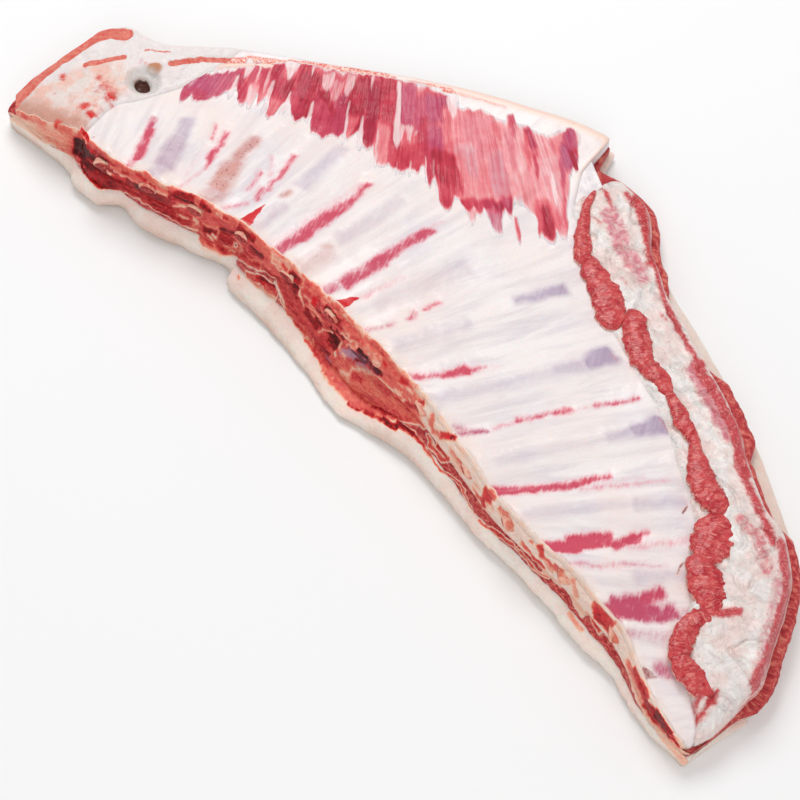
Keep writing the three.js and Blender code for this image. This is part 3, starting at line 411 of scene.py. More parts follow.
cut_tone, cut_end = through(CUT_TONE), through(CUT_END)


def smear(x, y, first, last, wide, blur, fade):
    """A straight stroke from one point to another, 1 in it and 0 outside: its width runs evenly from the
    first number to the second, its sides are soft over blur and its ends over fade."""
    dx, dy = last[0] - first[0], last[1] - first[1]
    length = np.hypot(dx, dy)
    along = ((x - first[0]) * dx + (y - first[1]) * dy) / length
    aside = np.abs((x - first[0]) * dy - (y - first[1]) * dx) / length
    half = between(wide[0], wide[1], np.clip(along / length, 0, 1)) / 2
    sides = 1 - smooth(aside, half - blur, half + blur)
    return sides * smooth(along, -fade, 0) * (1 - smooth(along, length, length + fade))


def sawn_face(rib, reach, height):
    """What the sawn face shows at points that lie out from the sawn edge by reach: the tone, crimson blood,
    violet silverskin, and how far the point sinks in or stands out, in mm. Strokes lie over each other."""
    sink = SINK_REACH * reach + SINK_DROP * (sawn_height(rib) - height)
    x = sawn_length(rib) + 0 * sink
    past_red = smooth(rib, 7.4, 8.2)
    rim = between(0.68, 0.92, past_red) + between(0.5, 0.22, past_red) * (hills(x / 4, sink / 3, 84) - 0.5)
    base = between(np.clip(rim, 0.2, 1), cut_tone(rib), smooth(sink, 0.2, 1.8))
    border = cut_end(rib) + 1.6 * (hills(x / 3, 0 * x, 81) - 0.5)
    upper = -0.9 - 1.6 * (hills(x / 5, 0 * x, 85) - 0.5)
    below = smooth(sink, border - 0.7, border + 0.7)
    above = 1 - smooth(sink, upper - 0.8, upper)
    tone = between(base, 1, np.maximum(below, above))
    blood, violet = 0 * x, 0 * x
    u = x + 1.5 * (hills(x / 3.5, sink / 3.5, 82) - 0.5)
    v = sink + 1.2 * (hills(x / 3.5, sink / 3.5, 83) - 0.5)
    for rib0, sink0, rib1, sink1, wide0, wide1, tone_here, cover, red in CUTS:
        first, last = (sawn_length(rib0), sink0), (sawn_length(rib1), sink1)
        here = cover * smear(u, v, first, last, (wide0, wide1), 0.5, 0.8)
        tone = between(tone, tone_here, here)
        blood = between(blood, max(red, 0), here)
        violet = between(violet, max(-red, 0), here)
    relief = 0.9 * smooth(tone, 0.02, 0.3) - 0.9 + 0.5 * smooth(tone, 0.7, 0.85) * (1 - smooth(sink, 6, 10))
    return tone, blood, violet, relief


def skin(name, rings, marks, material, nodes):
    """A closed skin over rings of points (rings x points x 3): four-sided faces between neighbouring rings,
    and one face over each end. marks are numbers or vectors, one a point, that the material reads."""
    count, around = rings.shape[:2]
    points = (rings.reshape(-1, 3) + SHIFT) / 1000
    here = np.arange(count * around).reshape(count, around)
    beyond = np.roll(here, -1, axis=1)
    sides = np.stack([here[:-1], beyond[:-1], beyond[1:], here[1:]], -1).reshape(-1, 4)
    corners = np.concatenate([sides.ravel(), here[0, ::-1], here[-1]])
    starts = np.concatenate([np.arange(len(sides)) * 4, len(sides) * 4 + np.array([0, around])])
    a, b, c, d = points[sides].transpose(1, 0, 2)
    volume = np.einsum("ij,ij->", a, np.cross(b, c)) + np.einsum("ij,ij->", a, np.cross(c, d))
    if volume < 0:
        ends = np.append(starts[1:], len(corners))
        size = np.diff(np.append(starts, len(corners)))
        face = np.repeat(np.arange(len(starts)), size)
        corners = corners[(starts + ends - 1)[face] - np.arange(len(corners))]
    mesh = bpy.data.meshes.new(name)
    mesh.vertices.add(len(points))
    mesh.vertices.foreach_set("co", points.ravel())
    mesh.loops.add(len(corners))
    mesh.loops.foreach_set("vertex_index", corners)
    mesh.polygons.add(len(starts))
    mesh.polygons.foreach_set("loop_start", starts)
    mesh.update(calc_edges=True)
    mesh.polygons.foreach_set("use_smooth", np.arange(len(starts)) < len(sides))
    for mark, value in marks.items():
        if np.ndim(value) == 3:
            numbers = np.broadcast_to(value, (count, around, 3)).astype(np.float32)
            mesh.attributes.new(mark, "FLOAT_VECTOR", "POINT").data.foreach_set("vector", numbers.ravel())
        else:
            numbers = np.broadcast_to(value, (count, around)).astype(np.float32)
            mesh.attributes.new(mark, "FLOAT", "POINT").data.foreach_set("value", numbers.ravel())
    mesh.materials.append(material)
    piece = bpy.data.objects.new(name, mesh)
    bpy.context.scene.collection.objects.link(piece)
    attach(piece, "root")
    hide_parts(*nodes)
    return piece


def ink(red, green, blue):
    """A colour as it looks on a screen, 0 to 255, as the light that a surface gives back, 0 to 1."""
    seen = np.array([red, green, blue]) / 255
    light = np.where(seen > 0.04045, ((seen + 0.055) / 1.055) ** 2.4, seen / 12.92)
    return (*map(float, light), 1.0)


class Wire:
    """A number, colour or vector on its way through a material. Sums of wires and numbers add the nodes that
    work them out, and put() adds any other node."""

    def __init__(self, tree, socket=None):
        self.tree = tree
        self.socket = socket

    def put(self, kind, settings, sockets, out=0):
        """Adds a node: its settings first, then its sockets, each a wire or a value. Returns one output."""
        node = self.tree.nodes.new(kind)
        for name, value in settings.items():
            if name == "stops":
                for place, colour in value[1:-1]:
                    node.color_ramp.elements.new(place).color = colour
                for element, (place, colour) in zip(node.color_ramp.elements, value):
                    element.position = place
                    element.color = colour
            else:
                setattr(node, name, value)
        for name, value in sockets.items():
            if isinstance(value, Wire):
                self.tree.links.new(value.socket, node.inputs[name])
            else:
                node.inputs[name].default_value = value
        return Wire(self.tree, node.outputs[out])

    def math(self, operation, first, second):
        return self.put("ShaderNodeMath", {"operation": operation}, {0: first, 1: second})

    def __add__(self, other):
        return self.math("ADD", self, other)

    def __sub__(self, other):
        return self.math("SUBTRACT", self, other)

    def __rsub__(self, other):
        return self.math("SUBTRACT", other, self)

    def __mul__(self, other):
        return self.math("MULTIPLY", self, other)

    __radd__ = __add__
    __rmul__ = __mul__

    def rise(self, low, high):
        """0 where the number is below low, 1 above high, with a soft step between them."""
        settings = {"interpolation_type": "SMOOTHSTEP"}
        return self.put("ShaderNodeMapRange", settings, {"Value": self, 1: low, 2: high})

    def tint(self, low, high):
        """One colour where the number is 0, the other where it is 1, and a blend between them."""
        return self.put("ShaderNodeMix", {"data_type": "RGBA"}, {0: self, 6: low, 7: high}, out=2)

    def ramp(self, *stops):
        """A colour for each number, blended between stops (number, colour)."""
        return self.put("ShaderNodeValToRGB", {"stops": stops}, {0: self})

    def into(self, colour, share):
        """This colour, and the other one by its share."""
        return self.put("ShaderNodeMix", {"data_type": "RGBA"}, {0: share, 6: self, 7: colour}, out=2)

    def mark(self, name, out=2):
        """A number that the mesh carries, or with out=1 a vector."""
        return self.put("ShaderNodeAttribute", {"attribute_name": name}, {}, out)

    def stretched(self, x, y, z):
        """A vector, each part times its own number."""
        return self.put("ShaderNodeVectorMath", {"operation": "MULTIPLY"}, {0: self, 1: (x, y, z)})

    def clouds(self, scale, detail=3, roughness=0.5, distortion=0):
        """Noise over a vector, about 0.3 to 0.7, in clouds 1 / scale wide."""
        sockets = {"Vector": self, "Scale": scale, "Detail": detail, "Roughness": roughness}
        return self.put("ShaderNodeTexNoise", {}, {**sockets, "Distortion": distortion})


CUT_STOPS = [
    (0.0, ink(60, 4, 6)), (0.18, ink(122, 10, 16)), (0.36, ink(190, 24, 32)), (0.52, ink(224, 78, 76)),
    (0.68, ink(242, 122, 102)), (0.84, ink(253, 202, 176)), (0.95, ink(248, 228, 216)),
]
BLOOD_DARK = ink(92, 0, 4)
BLOOD_BRIGHT = ink(236, 10, 26)
SILVER_DARK = ink(104, 44, 62)
SILVER_LIGHT = ink(206, 160, 184)


class Flesh:
    """A material with its start: places in millimetres, the marks of its mesh, and a moist surface to end."""

    def __init__(self, name, depth, soak, coat):
        self.material = bpy.data.materials.new(name)
        self.material.use_nodes = True
        tree = self.material.node_tree
        self.shader = next(n for n in tree.nodes if n.type == "BSDF_PRINCIPLED")
        self.wire = Wire(tree)
        place = self.wire.put("ShaderNodeTexCoord", {}, {}, out=3)
        self.place = place.stretched(1000, 1000, 1000)
        sockets = self.shader.inputs
        sockets["Subsurface Weight"].default_value = soak
        sockets["Subsurface Radius"].default_value = (1.0, 0.35, 0.25)
        sockets["Subsurface Scale"].default_value = depth / 1000
        sockets["Coat Weight"].default_value = coat
        sockets["Coat Roughness"].default_value = 0.12
        sockets["IOR"].default_value = 1.42
        sockets["Specular IOR Level"].default_value = 0.25

    def mark(self, name, out=2):
        return self.wire.mark(name, out)

    def cut(self, colour):
        """The colour, and over it that of the sawn face, where the mesh's tone is below 1. Also its grain."""
        way = self.mark("way", 1)
        grain = way.stretched(0.3, 1.2, 0.5).clouds(1, 4, 0.6, 0.8)
        speck = self.place.clouds(0.8, 4, 0.65)
        plain = self.mark("tone")
        noise = (grain - 0.5) * 1.1 + (speck - 0.5) * 0.6
        tone = plain + noise * (1.06 - plain)
        paint = tone.ramp(*CUT_STOPS)
        paint = paint.into(tone.rise(0.05, 0.65).tint(SILVER_DARK, SILVER_LIGHT), self.mark("violet"))
        blood = tone.rise(0.0, 0.5).tint(BLOOD_DARK, BLOOD_BRIGHT)
        paint = paint.into(blood, (self.mark("blood") + noise * 0.8).rise(0.15, 0.85))
        return colour.into(paint, 1.0 - plain.rise(0.9, 0.995)), grain + speck * 0.8

    def end(self, colour, roughness, height, relief):
        """Joins up the shader: the height's relief, in millimetres, becomes its bumps."""
        links = self.material.node_tree.links
        links.new(colour.socket, self.shader.inputs["Base Color"])
        links.new(roughness.socket, self.shader.inputs["Roughness"])
        sockets = {"Strength": 1.0, "Distance": relief / 1000, "Height": height}
        bumps = self.wire.put("ShaderNodeBump", {}, sockets)
        links.new(bumps.socket, self.shader.inputs["Normal"])
        return self.material


FAT_CREAM = ink(246, 234, 224)
# FAT_SHADE is painted shade at the foot of the fat, and also the fat's tan mottle
FAT_SHADE = ink(210, 180, 160)
FAT_PINK = ink(246, 220, 210)

fat = Flesh("fat_white_soft", depth=2.5, soak=0.3, coat=0.12)
soft = fat.place.clouds(0.07, 4)
grain = fat.place.clouds(0.7, 3)
low = fat.mark("low")
colour = soft.rise(0.35, 0.65).tint(FAT_CREAM, FAT_PINK)
# Painted shade: the mark low darkens the fat to FAT_SHADE at the foot of the sawn face, on the underside and
# a little on the far wall
colour = colour.into(FAT_SHADE, low * (0.4 + soft * 0.9))
colour = colour.into(FAT_SHADE, grain.rise(0.55, 0.75) * 0.25)
colour, cut_grain = fat.cut(colour)
fat_material = fat.end(colour, 0.38 + grain * 0.25, grain + soft * 1.5 + cut_grain * 0.6, 0.5)

ribs = along_slab(FIRST, LAST, RINGS)
soft_end = away_from_tips(ribs)
spread = sawn_spread(ribs)
rim = np.where(lean_inset(ribs) < 0.5, 2, 0)
outer_top = lean_floor(ribs, 1) - 0.3
lip = np.minimum(5, 0.5 * outer_top)
length = sawn_length(ribs)

near = np.stack([
    stack(spread - 7 * soft_end, spread - 2.5 * soft_end, spread, 0.85 * spread, 0.5 * spread),
    stack(0 * lip, 0 * lip + 1, lip, between(lip, lean_floor(ribs, 0), 0.6), lean_floor(ribs, 0)),
], -1)
FAT_NEAR = 30
near = bend(near, FAT_NEAR)
reach, height = near[..., 0], near[..., 1]
rise = height / np.maximum(lean_floor(ribs, 0), 1)
tone, blood, violet, relief = sawn_face(ribs, reach, height)
lumps = hills(length / 7, height / 4, 1) - 0.5 + 0.6 * (hills(length / 2.2, height / 1.6, 2) - 0.5)
reach = reach + (lumps * 1.6 * smooth(rise, 0.05, 0.3) + relief) * soft_end
x, y = sawn_point(ribs, reach)
near_wall = np.stack([x, y, height], -1)

far_inset = between(top_inset(ribs), lean_inset(ribs), 0.7) + 1
far = np.stack([
    stack(far_inset, rim, rim, rim + 2.5, rim + 7),
    stack(lean_floor(ribs, 1), 0.75 * outer_top, lip, 0 * lip + 1, 0 * lip),
], -1)
FAT_FAR = 20
far = bend(far.astype(float), FAT_FAR)
inset, height = far[..., 0], far[..., 1]
inset = inset - 0.8 * (hills(length / 8, height / 5, 3) - 0.5) * smooth(height, 0, 2)
x, y = outer_point(ribs, inset)
far_wall = np.stack([x, y, height], -1)

FAT_ACROSS = 20
share = np.linspace(0, 1, FAT_ACROSS + 2)[None, 1:-1]
x0, y0 = sawn_point(ribs, 0.5 * spread)
x1, y1 = outer_point(ribs, far_inset)
upper = np.stack([between(x0, x1, share), between(y0, y1, share), lean_floor(ribs, share)], -1)
x0, y0 = outer_point(ribs, rim + 7)
x1, y1 = sawn_point(ribs, spread - 7 * soft_end)
lower = np.stack([between(x0, x1, share), between(y0, y1, share), 0 * (ribs + share)], -1)
rings = np.concatenate([near_wall, upper, far_wall, lower], 1)


def blunt(rings, ribs, first, last, length):
    """The rings with rounded ends: over the last stretch of rib numbers at each end they shrink about their
    own middles, along a quarter circle."""
    near_end = np.minimum(ribs - first, last - ribs)
    t = np.clip(near_end / length, 0, 1)[..., None]
    size = 0.35 + 0.65 * np.sqrt(1 - (1 - t) ** 2)
    middle = 0.5 * (rings.max(1, keepdims=True) + rings.min(1, keepdims=True))
    middle[..., 2] *= np.where(rings[..., 2].min() < 0.1, 0.6, 1)
    return middle + (rings - middle) * size


def on_wall(value, count, around, rest=0.0):
    """A mark for the first points of each ring, which make the near wall, and one number for the others."""
    marks = np.full((value.shape[0], around), float(rest))
    marks[:, :count] = value
    return marks


def grain_way(length, rings):
    """A vector for the grain at each point: the length along the sawn edge, the height, and half of y."""
    return np.stack([np.broadcast_to(length, rings.shape[:2]), rings[..., 2], rings[..., 1] * 0.5], -1)


far_start = FAT_NEAR + FAT_ACROSS
# The mark low is painted shade: 1 at the foot of the sawn face and fading up it, 0.6 on the underside and 0.3
# on the far wall
tan = np.zeros(rings.shape[:2])
tan[:, :FAT_NEAR] = 1 - smooth(rise, 0.05, 0.75)
tan[:, -FAT_ACROSS:] = 0.6
tan[:, far_start:far_start + FAT_FAR] = 0.3
rings = blunt(rings, ribs, FIRST, LAST, 0.1)
around = rings.shape[1]
outer_fat = skin("outer_fat", rings, {
    "low": tan,
    "way": grain_way(length, rings),
    "tone": on_wall(tone, FAT_NEAR, around, 1),
    "blood": on_wall(blood, FAT_NEAR, around),
    "violet": on_wall(violet, FAT_NEAR, around),
}, fat_material, ["fat_cover"])


# Lean
# The red meat between the fat and the chest wall. It shows in the sawn face as folded, moist muscle, from the
# ninth rib on only as a thin red line in fat, and as the red rim of the outer edge. A skin of rings too.

RIM_DARK = ink(170, 40, 48)
RIM_RED = ink(206, 72, 74)
RIM_LIGHT = ink(238, 140, 122)

lean = Flesh("lean_red_moist", depth=1.2, soak=0.08, coat=0.15)
way = lean.mark("way", 1)
strands = way.stretched(0.45, 1.6, 0.5).clouds(1, 4, 0.6, 0.6)
colour = strands.ramp((0.34, RIM_DARK), (0.5, RIM_RED), (0.66, RIM_LIGHT))
colour, grain = lean.cut(colour)
lean_material = lean.end(colour, 0.24 + strands * 0.3, grain * 1.6, 0.7)

LEAN_LAST = 13.95
LEAN_NEAR = 28
ribs = along_slab(FIRST, LEAN_LAST, RINGS)
spread = sawn_spread(ribs)
length = sawn_length(ribs)
floor_here, roof_here = lean_floor(ribs, 0), panel_floor(ribs, 0)
thick = roof_here - floor_here
near = bend(np.stack([
    stack(
        0.5 * spread - 0.8, 0.5 * spread + 0.3, 0.39 * spread + 0.6, 0.22 * spread + 0.7,
        0.22 * spread - 0.8,
    ),
    stack(
        floor_here - 0.4, floor_here + 0.15 * thick, floor_here + 0.5 * thick, roof_here - 0.15 * thick,
        roof_here + 0.4,
    ),
], -1), LEAN_NEAR)
reach, height = near[..., 0], near[..., 1]
rise = (height - floor_here) / thick
tone, blood, violet, relief = sawn_face(ribs, reach, height)
lumps = 1.6 * (hills(length / 6, height / 3, 5) - 0.5) + 1.2 * (hills(length / 2.6, height / 1.3, 6) - 0.5)
hollow = np.exp(-(((ribs - 6.85) / 0.32) ** 2 + ((rise - 0.9) / 0.35) ** 2))
inner = smooth(rise, -0.1, 0.15) * (1 - smooth(rise, 0.9, 1.15))
reach = reach + (lumps * inner + relief) * away_from_tips(ribs) - 3.5 * hollow
x, y = sawn_point(ribs, reach)
near_wall = np.stack([x, y, height], -1)

share = np.linspace(0, 1, 20)[None, 1:-1]
x, y = across(ribs, share, 0.22 * spread - 0.8)
upper = np.stack([x, y, panel_floor(ribs, share)], -1)
far_inset = between(top_inset(ribs), lean_inset(ribs), 0.7) + 1
middle = 0.5 * (lean_floor(ribs, 1) + panel_floor(ribs, 1))
far = bend(np.stack([
    stack(top_inset(ribs), between(top_inset(ribs), lean_inset(ribs), 0.8), lean_inset(ribs), far_inset),
    stack(panel_floor(ribs, 1), panel_floor(ribs, 1) - 0.6, middle, lean_floor(ribs, 1)),
], -1).astype(float), 16)
inset = far[..., 0] + 1.2 * (hills(length / 3, far[..., 1] / 2, 14) - 0.5)
x, y = outer_point(ribs, inset)
far_wall = np.stack([x, y, far[..., 1]], -1)
x0, y0 = outer_point(ribs, far_inset)
x1, y1 = sawn_point(ribs, 0.5 * spread - 0.8)
lower = np.stack([between(x0, x1, share), between(y0, y1, share), lean_floor(ribs, 1 - share)], -1)
rings = np.concatenate([near_wall, upper, far_wall, lower], 1)

around = rings.shape[1]
lean_meat = skin("lean_meat", blunt(rings, ribs, FIRST, LEAN_LAST, 0.1), {
    "way": grain_way(length, rings),
    "tone": on_wall(tone, LEAN_NEAR, around, 1),
    "blood": on_wall(blood, LEAN_NEAR, around),
    "violet": on_wall(violet, LEAN_NEAR, around),
}, lean_material, ["lean_layer"])


# Chest wall
# The inside of the ribs: a shiny silver-white membrane over ridges of bone, with red muscle that shows
# through between them. One skin of rings, whose near wall is part of the sawn face.

PANEL_END = [
    [-1, 1], [6, 1], [6.12, 0.93], [6.35, 0.8], [7, 0.77], [9, 0.75], [10, 0.73], [11, 0.6], [12, 0.45],
    [13, 0.4], [14, 0.45],
]
# Where the brisket lump ends: share, rib. The rings turn from this border to run straight across
BRISKET_END = [[0, 0.05], [0.3, 0.5], [0.57, 1.2], [0.75, 1.7], [1, 2]]
PANEL_FIRST = 0.25
TURN_LAST = 2.25
TOP_LAST = 13.85
RIB_COUNT = 12
RIB_SPACING = 29
RIB_END = [
    [1, 0.36], [2, 0.52], [3, 0.58], [6, 0.62], [8, 0.63], [9, 0.67], [10, 0.63], [11, 0.48], [12, 0.32],
]
# Strokes of colour on the membrane, each from one place [rib, share] to another:
# rib, share, rib, share, width at the first and at the second in mm, strength, and purple.
# Muscle between the ribs
BANDS = [
    (1.53, 0, 1.6, 0.14, 4.4, 4.8, 0.62, 0), (1.6, 0.1, 1.5, 0.33, 4.6, 4, 1.05, 0.1),
    (1.51, 0.28, 1.45, 0.41, 3.6, 2.2, 1, 0.5), (2.55, 0.04, 2.68, 0.2, 2.6, 3.2, 0.4, 0),
    (2.66, 0.19, 2.58, 0.32, 2.4, 3.8, 0.85, 0), (2.6, 0.35, 2.5, 0.44, 3.2, 2.4, 0.8, 0),
    (2.4, 0.38, 2.32, 0.47, 2, 1.6, 0.75, 0), (2.46, 0.1, 2.42, 0.32, 3, 3, 0.3, 0),
    (3.45, 0.04, 3.66, 0.1, 3.4, 4.4, 0.5, 0.1), (3.72, 0.14, 3.62, 0.2, 3.6, 3, 0.75, 0.2),
    (3.47, 0.17, 3.38, 0.28, 3.2, 2.6, 0.6, 0.1), (3.7, 0.2, 3.55, 0.42, 3, 2.6, 0.85, 0),
    (3.52, 0.28, 3.32, 0.38, 1.8, 1.6, 0.5, 0), (4.66, 0.01, 4.66, 0.12, 7.6, 8.6, 0.72, 0.3),
    (4.68, 0.1, 4.7, 0.3, 9, 7.4, 0.82, 0.1), (4.72, 0.28, 4.62, 0.43, 5.6, 3.2, 0.85, 0.1),
    (4.5, 0.02, 4.56, 0.42, 4, 5, 0.3, 0), (5.62, 0, 5.72, 0.05, 7.4, 6, 0.6, 0.4),
    (5.76, 0.07, 5.76, 0.2, 8.4, 9, 0.78, 0.3), (5.73, 0.2, 5.74, 0.38, 7.6, 6.6, 0.82, 0.25),
    (5.7, 0.36, 5.72, 0.43, 5, 3, 0.4, 0.2), (6.58, 0, 6.66, 0.06, 4.4, 3, 0.5, 0.4),
    (6.68, 0.08, 6.68, 0.1, 3.2, 3, 0.5, 0.4), (6.72, 0.15, 6.62, 0.17, 2.8, 2.2, 0.7, 0.2),
    (6.64, 0.21, 6.62, 0.26, 2.8, 2.4, 0.65, 0), (6.12, 0.08, 6.15, 0.22, 3, 2.4, 0.4, 0),
    (7.56, 0, 7.7, 0.12, 4.4, 4, 0.8, 0.1), (7.7, 0.11, 7.72, 0.2, 4.6, 7.2, 0.92, 0),
    (7.72, 0.19, 7.75, 0.26, 6, 2.6, 0.7, 0.1), (7.78, 0.26, 7.8, 0.31, 3, 2.6, 0.3, 0.1),
    (8.48, 0.04, 8.56, 0.07, 4, 2.4, 0.6, 1), (8.57, 0.04, 8.61, 0.12, 1.8, 1.8, 1, 0.9),
    (8.6, 0.16, 8.58, 0.25, 1.4, 2.4, 0.6, 0.1), (8.57, 0.25, 8.57, 0.4, 2.8, 2.2, 0.85, 0.2),
    (8.58, 0.39, 8.6, 0.45, 2.8, 2.2, 0.95, 0), (8.6, 0.44, 8.6, 0.56, 1.2, 1.2, 0.5, 0),
    (8.61, 0.55, 8.66, 0.7, 3, 1.8, 0.85, 0.2), (9.52, 0, 9.6, 0.1, 5.2, 4.2, 1.05, 0.1),
    (9.6, 0.1, 9.63, 0.2, 3.8, 3.2, 1.05, 0), (9.63, 0.2, 9.65, 0.33, 4.6, 4.6, 1.1, 0.1),
    (9.63, 0.33, 9.6, 0.46, 4.2, 2.2, 1, 0), (9.74, 0.33, 9.83, 0.66, 4, 2.4, 0.5, 0.2),
    (9.7, 0.42, 9.72, 0.58, 3.4, 3, 0.3, 0.1), (10.62, 0, 10.58, 0.15, 5.8, 6.4, 1.1, 0),
    (10.52, 0.13, 10.46, 0.3, 7.8, 6.8, 1.1, 0), (10.55, 0.3, 10.43, 0.42, 4.6, 4.6, 1, 0.1),
    (10.42, 0.4, 10.38, 0.47, 3.4, 2.2, 0.95, 0), (10.58, 0.36, 10.48, 0.62, 4.4, 5, 0.4, 0.2),
    (10.98, 0, 10.92, 0.25, 2.6, 2.6, 0.55, 0.3), (10.9, 0.25, 10.86, 0.45, 2.2, 1.8, 0.5, 0.6),
    (11.8, 0, 11.72, 0.08, 8.6, 9.6, 1, 0.4), (11.66, 0.07, 11.62, 0.25, 11.4, 12.6, 0.92, 0.6),
    (11.46, 0.27, 11.32, 0.38, 6.6, 5.4, 1.05, 0.3), (11.7, 0.24, 11.62, 0.42, 10, 7.6, 0.78, 0.7),
    (11.6, 0.41, 11.5, 0.53, 5, 3.4, 0.45, 0.6), (12.6, 0.18, 12.6, 0.34, 7.6, 8.6, 0.65, 0.8),
    (12.14, 0.03, 12.1, 0.32, 4.6, 5, 0.35, 0.9),
]
# Bone that shows through; the last number is brown
TINTS = [
    (2.05, 0.02, 2.1, 0.11, 6, 9, 0.5, 0.1), (2.1, 0.1, 2, 0.3, 10, 9, 0.7, 0.2),
    (2.04, 0.29, 1.95, 0.43, 7, 7, 0.55, 0), (3.12, 0.02, 3.18, 0.11, 8, 10, 0.6, 0.8),
    (3.12, 0.1, 3, 0.26, 10, 9, 0.85, 1), (2.98, 0.22, 2.95, 0.43, 8, 6, 0.8, 0.9),
    (4.1, 0.02, 4.14, 0.16, 6, 7, 0.35, 0.3), (4.05, 0.28, 3.94, 0.52, 7, 7, 0.45, 0),
    (4, 0.2, 4, 0.22, 2.6, 2.6, 0.9, 1), (5.14, 0.02, 5.22, 0.12, 9, 7, 0.3, 0.9),
    (5.12, 0.18, 5.15, 0.42, 7, 6, 0.3, 0.1), (5.1, 0.12, 5.12, 0.13, 1.8, 1.8, 0.7, 1),
    (6.3, 0.1, 6.34, 0.4, 8, 8, 0.2, 0.2), (7.05, 0.05, 7.05, 0.3, 8, 8, 0.25, 0),
    (6.98, 0.5, 7.02, 0.66, 4, 7, 0.85, 0), (8.1, 0.02, 8.1, 0.5, 7, 7, 0.2, 0),
    (8.06, 0.48, 8.08, 0.62, 5, 7.6, 0.5, 0), (8.07, 0.6, 8.01, 0.695, 7, 10, 1.15, 0),
    (9.1, 0.1, 9.1, 0.5, 5, 4, 0.2, 0), (9.1, 0.52, 9.1, 0.64, 4.4, 5.4, 0.6, 0),
    (9.1, 0.62, 9.07, 0.72, 5.4, 9.4, 1.25, 0), (10.08, 0.5, 10.1, 0.69, 5, 5, 0.45, 0),
    (10.05, 0.05, 10.05, 0.45, 6, 5, 0.2, 0), (11.1, 0.3, 11, 0.52, 6, 6, 0.35, 0),
]
# Blood and other marks: the last number is brown
SPOTS = [
    (3.94, -0.01, 3.93, 0.12, 7, 0.8, 1.1, 0.25), (6.03, -0.01, 6.1, 0.07, 7.5, 0.8, 1.1, 0.25),
    (8.59, -0.01, 8.6, 0.012, 2.6, 2, 1, 1), (12.7, 0.03, 12.74, 0.14, 6, 2, 0.6, 0.9),
    (0.42, 0.06, 0.66, 0.13, 1.8, 1, 0.7, 0.6), (9.55, -0.01, 9.57, 0.02, 3, 2, 0.6, 0.5),
    (7.5, -0.01, 7.58, 0.01, 3, 2, 0.6, 0), (11, 0.49, 10.76, 0.56, 1.4, 1, 0.6, 1),
    (10.2, 0.66, 10.13, 0.7, 1.3, 1, 0.7, 1), (8.46, 0.515, 8.47, 0.525, 1.6, 1.4, 0.35, 0),
    (5.05, 0.205, 5.75, 0.195, 1, 0.8, 0.22, 0), (8.01, 0.7, 8.12, 0.705, 1.2, 1, 0.45, 0.3),
    (9, 0.725, 9.14, 0.735, 1.2, 1, 0.45, 0.3),
]
# Coral edge of cut muscle along the outer side
CORALS = [
    (1.36, 0.82, 1.52, 0.87, 2.6, 5, 1, 0), (1.5, 0.87, 1.76, 0.9, 4.6, 3.8, 1, 0),
    (1.74, 0.902, 2.12, 0.932, 3.6, 3.4, 1, 0), (2.1, 0.932, 2.52, 0.955, 3.4, 3.6, 1, 0),
    (2.5, 0.955, 2.92, 0.97, 4.2, 4.6, 1, 0), (2.9, 0.962, 3.34, 0.978, 3.4, 4.2, 1, 0),
    (3.3, 0.978, 3.64, 0.968, 4.2, 3.6, 1, 0), (3.72, 0.957, 4.28, 0.972, 3.4, 3, 0.8, 0),
    (4.3, 0.968, 4.95, 0.965, 2.2, 1.2, 0.5, 0), (1.48, 0.76, 1.62, 0.8, 1.6, 2, 0.5, 0),
]
# A cream cord of fat along it, as places [rib, share]
CORD = [(1.42, 0.78), (1.65, 0.835), (2.0, 0.88), (2.4, 0.92)]
panel_end, brisket_end, rib_end = through(PANEL_END), through(BRISKET_END), through(RIB_END)


def ridges(rib, share):
    """Ridges 2.2 mm high over the ribs: a cosine of the rib number, fading out past each rib's end."""
    fade = 1 - smooth(share, rib_end(rib), rib_end(rib) + 0.12)
    among = smooth(rib, 0.5, 1) * (1 - smooth(rib, RIB_COUNT, RIB_COUNT + 0.5))
    return 2.2 * (0.5 + 0.5 * np.cos(2 * np.pi * rib)) * fade * among


def wall_level(x, y, rib, share):
    """Height of the chest wall: the top, 1.15 times the ridges, and soft lumps 0.6 and 0.16 mm high."""
    lumps = 0.6 * (hills(x / 16, y / 16, 33) - 0.5) + 0.16 * (hills(x / 2.4, y / 2.4, 26) - 0.5)
    return base_top(rib, share) + 1.15 * ridges(rib, share) + lumps


def distance_to(x, y, line):
    """Distance in plan to a line through places [rib, share]: the least of those to its stretches."""
    rib, share = np.array(line, float).T
    a, b = across(rib, share)
    least = np.full(np.shape(x), 1e9)
    for i in range(len(line) - 1):
        dx, dy = a[i + 1] - a[i], b[i + 1] - b[i]
        t = np.clip(((x - a[i]) * dx + (y - b[i]) * dy) / (dx * dx + dy * dy), 0, 1)
        least = np.minimum(least, np.hypot(x - a[i] - t * dx, y - b[i] - t * dy))
    return least


def near_line(x, y, line, half, soft=1.0):
    """1 within half a width of a line through places [rib, share], and 0 from a soft border on."""
    return 1 - smooth(distance_to(x, y, line), half - soft, half + soft)


def rounding(from_edge):
    """How far a top sinks at its border, as a quarter circle of 2 mm does."""
    return 2 - np.sqrt(4 - np.clip(2 - from_edge, 0, 2) ** 2)


MEMBRANE = ink(246, 238, 237)
MEMBRANE_COOL = ink(228, 219, 223)
MEMBRANE_WARM = ink(245, 228, 222)
BAND_STOPS = [
    (0.0, ink(246, 214, 218)), (0.3, ink(240, 172, 182)), (0.6, ink(230, 124, 140)), (0.95, ink(210, 76, 98)),
]
BAND_PURPLE = ink(166, 74, 116)
BONE_VIOLET = ink(170, 146, 176)
BONE_BROWN = ink(216, 158, 150)
SPOT_RED = ink(232, 20, 34)
SPOT_BROWN = ink(140, 40, 40)
EDGE_CREAM = ink(247, 216, 200)
CORAL = ink(226, 96, 84)
PEACH = ink(247, 214, 198)

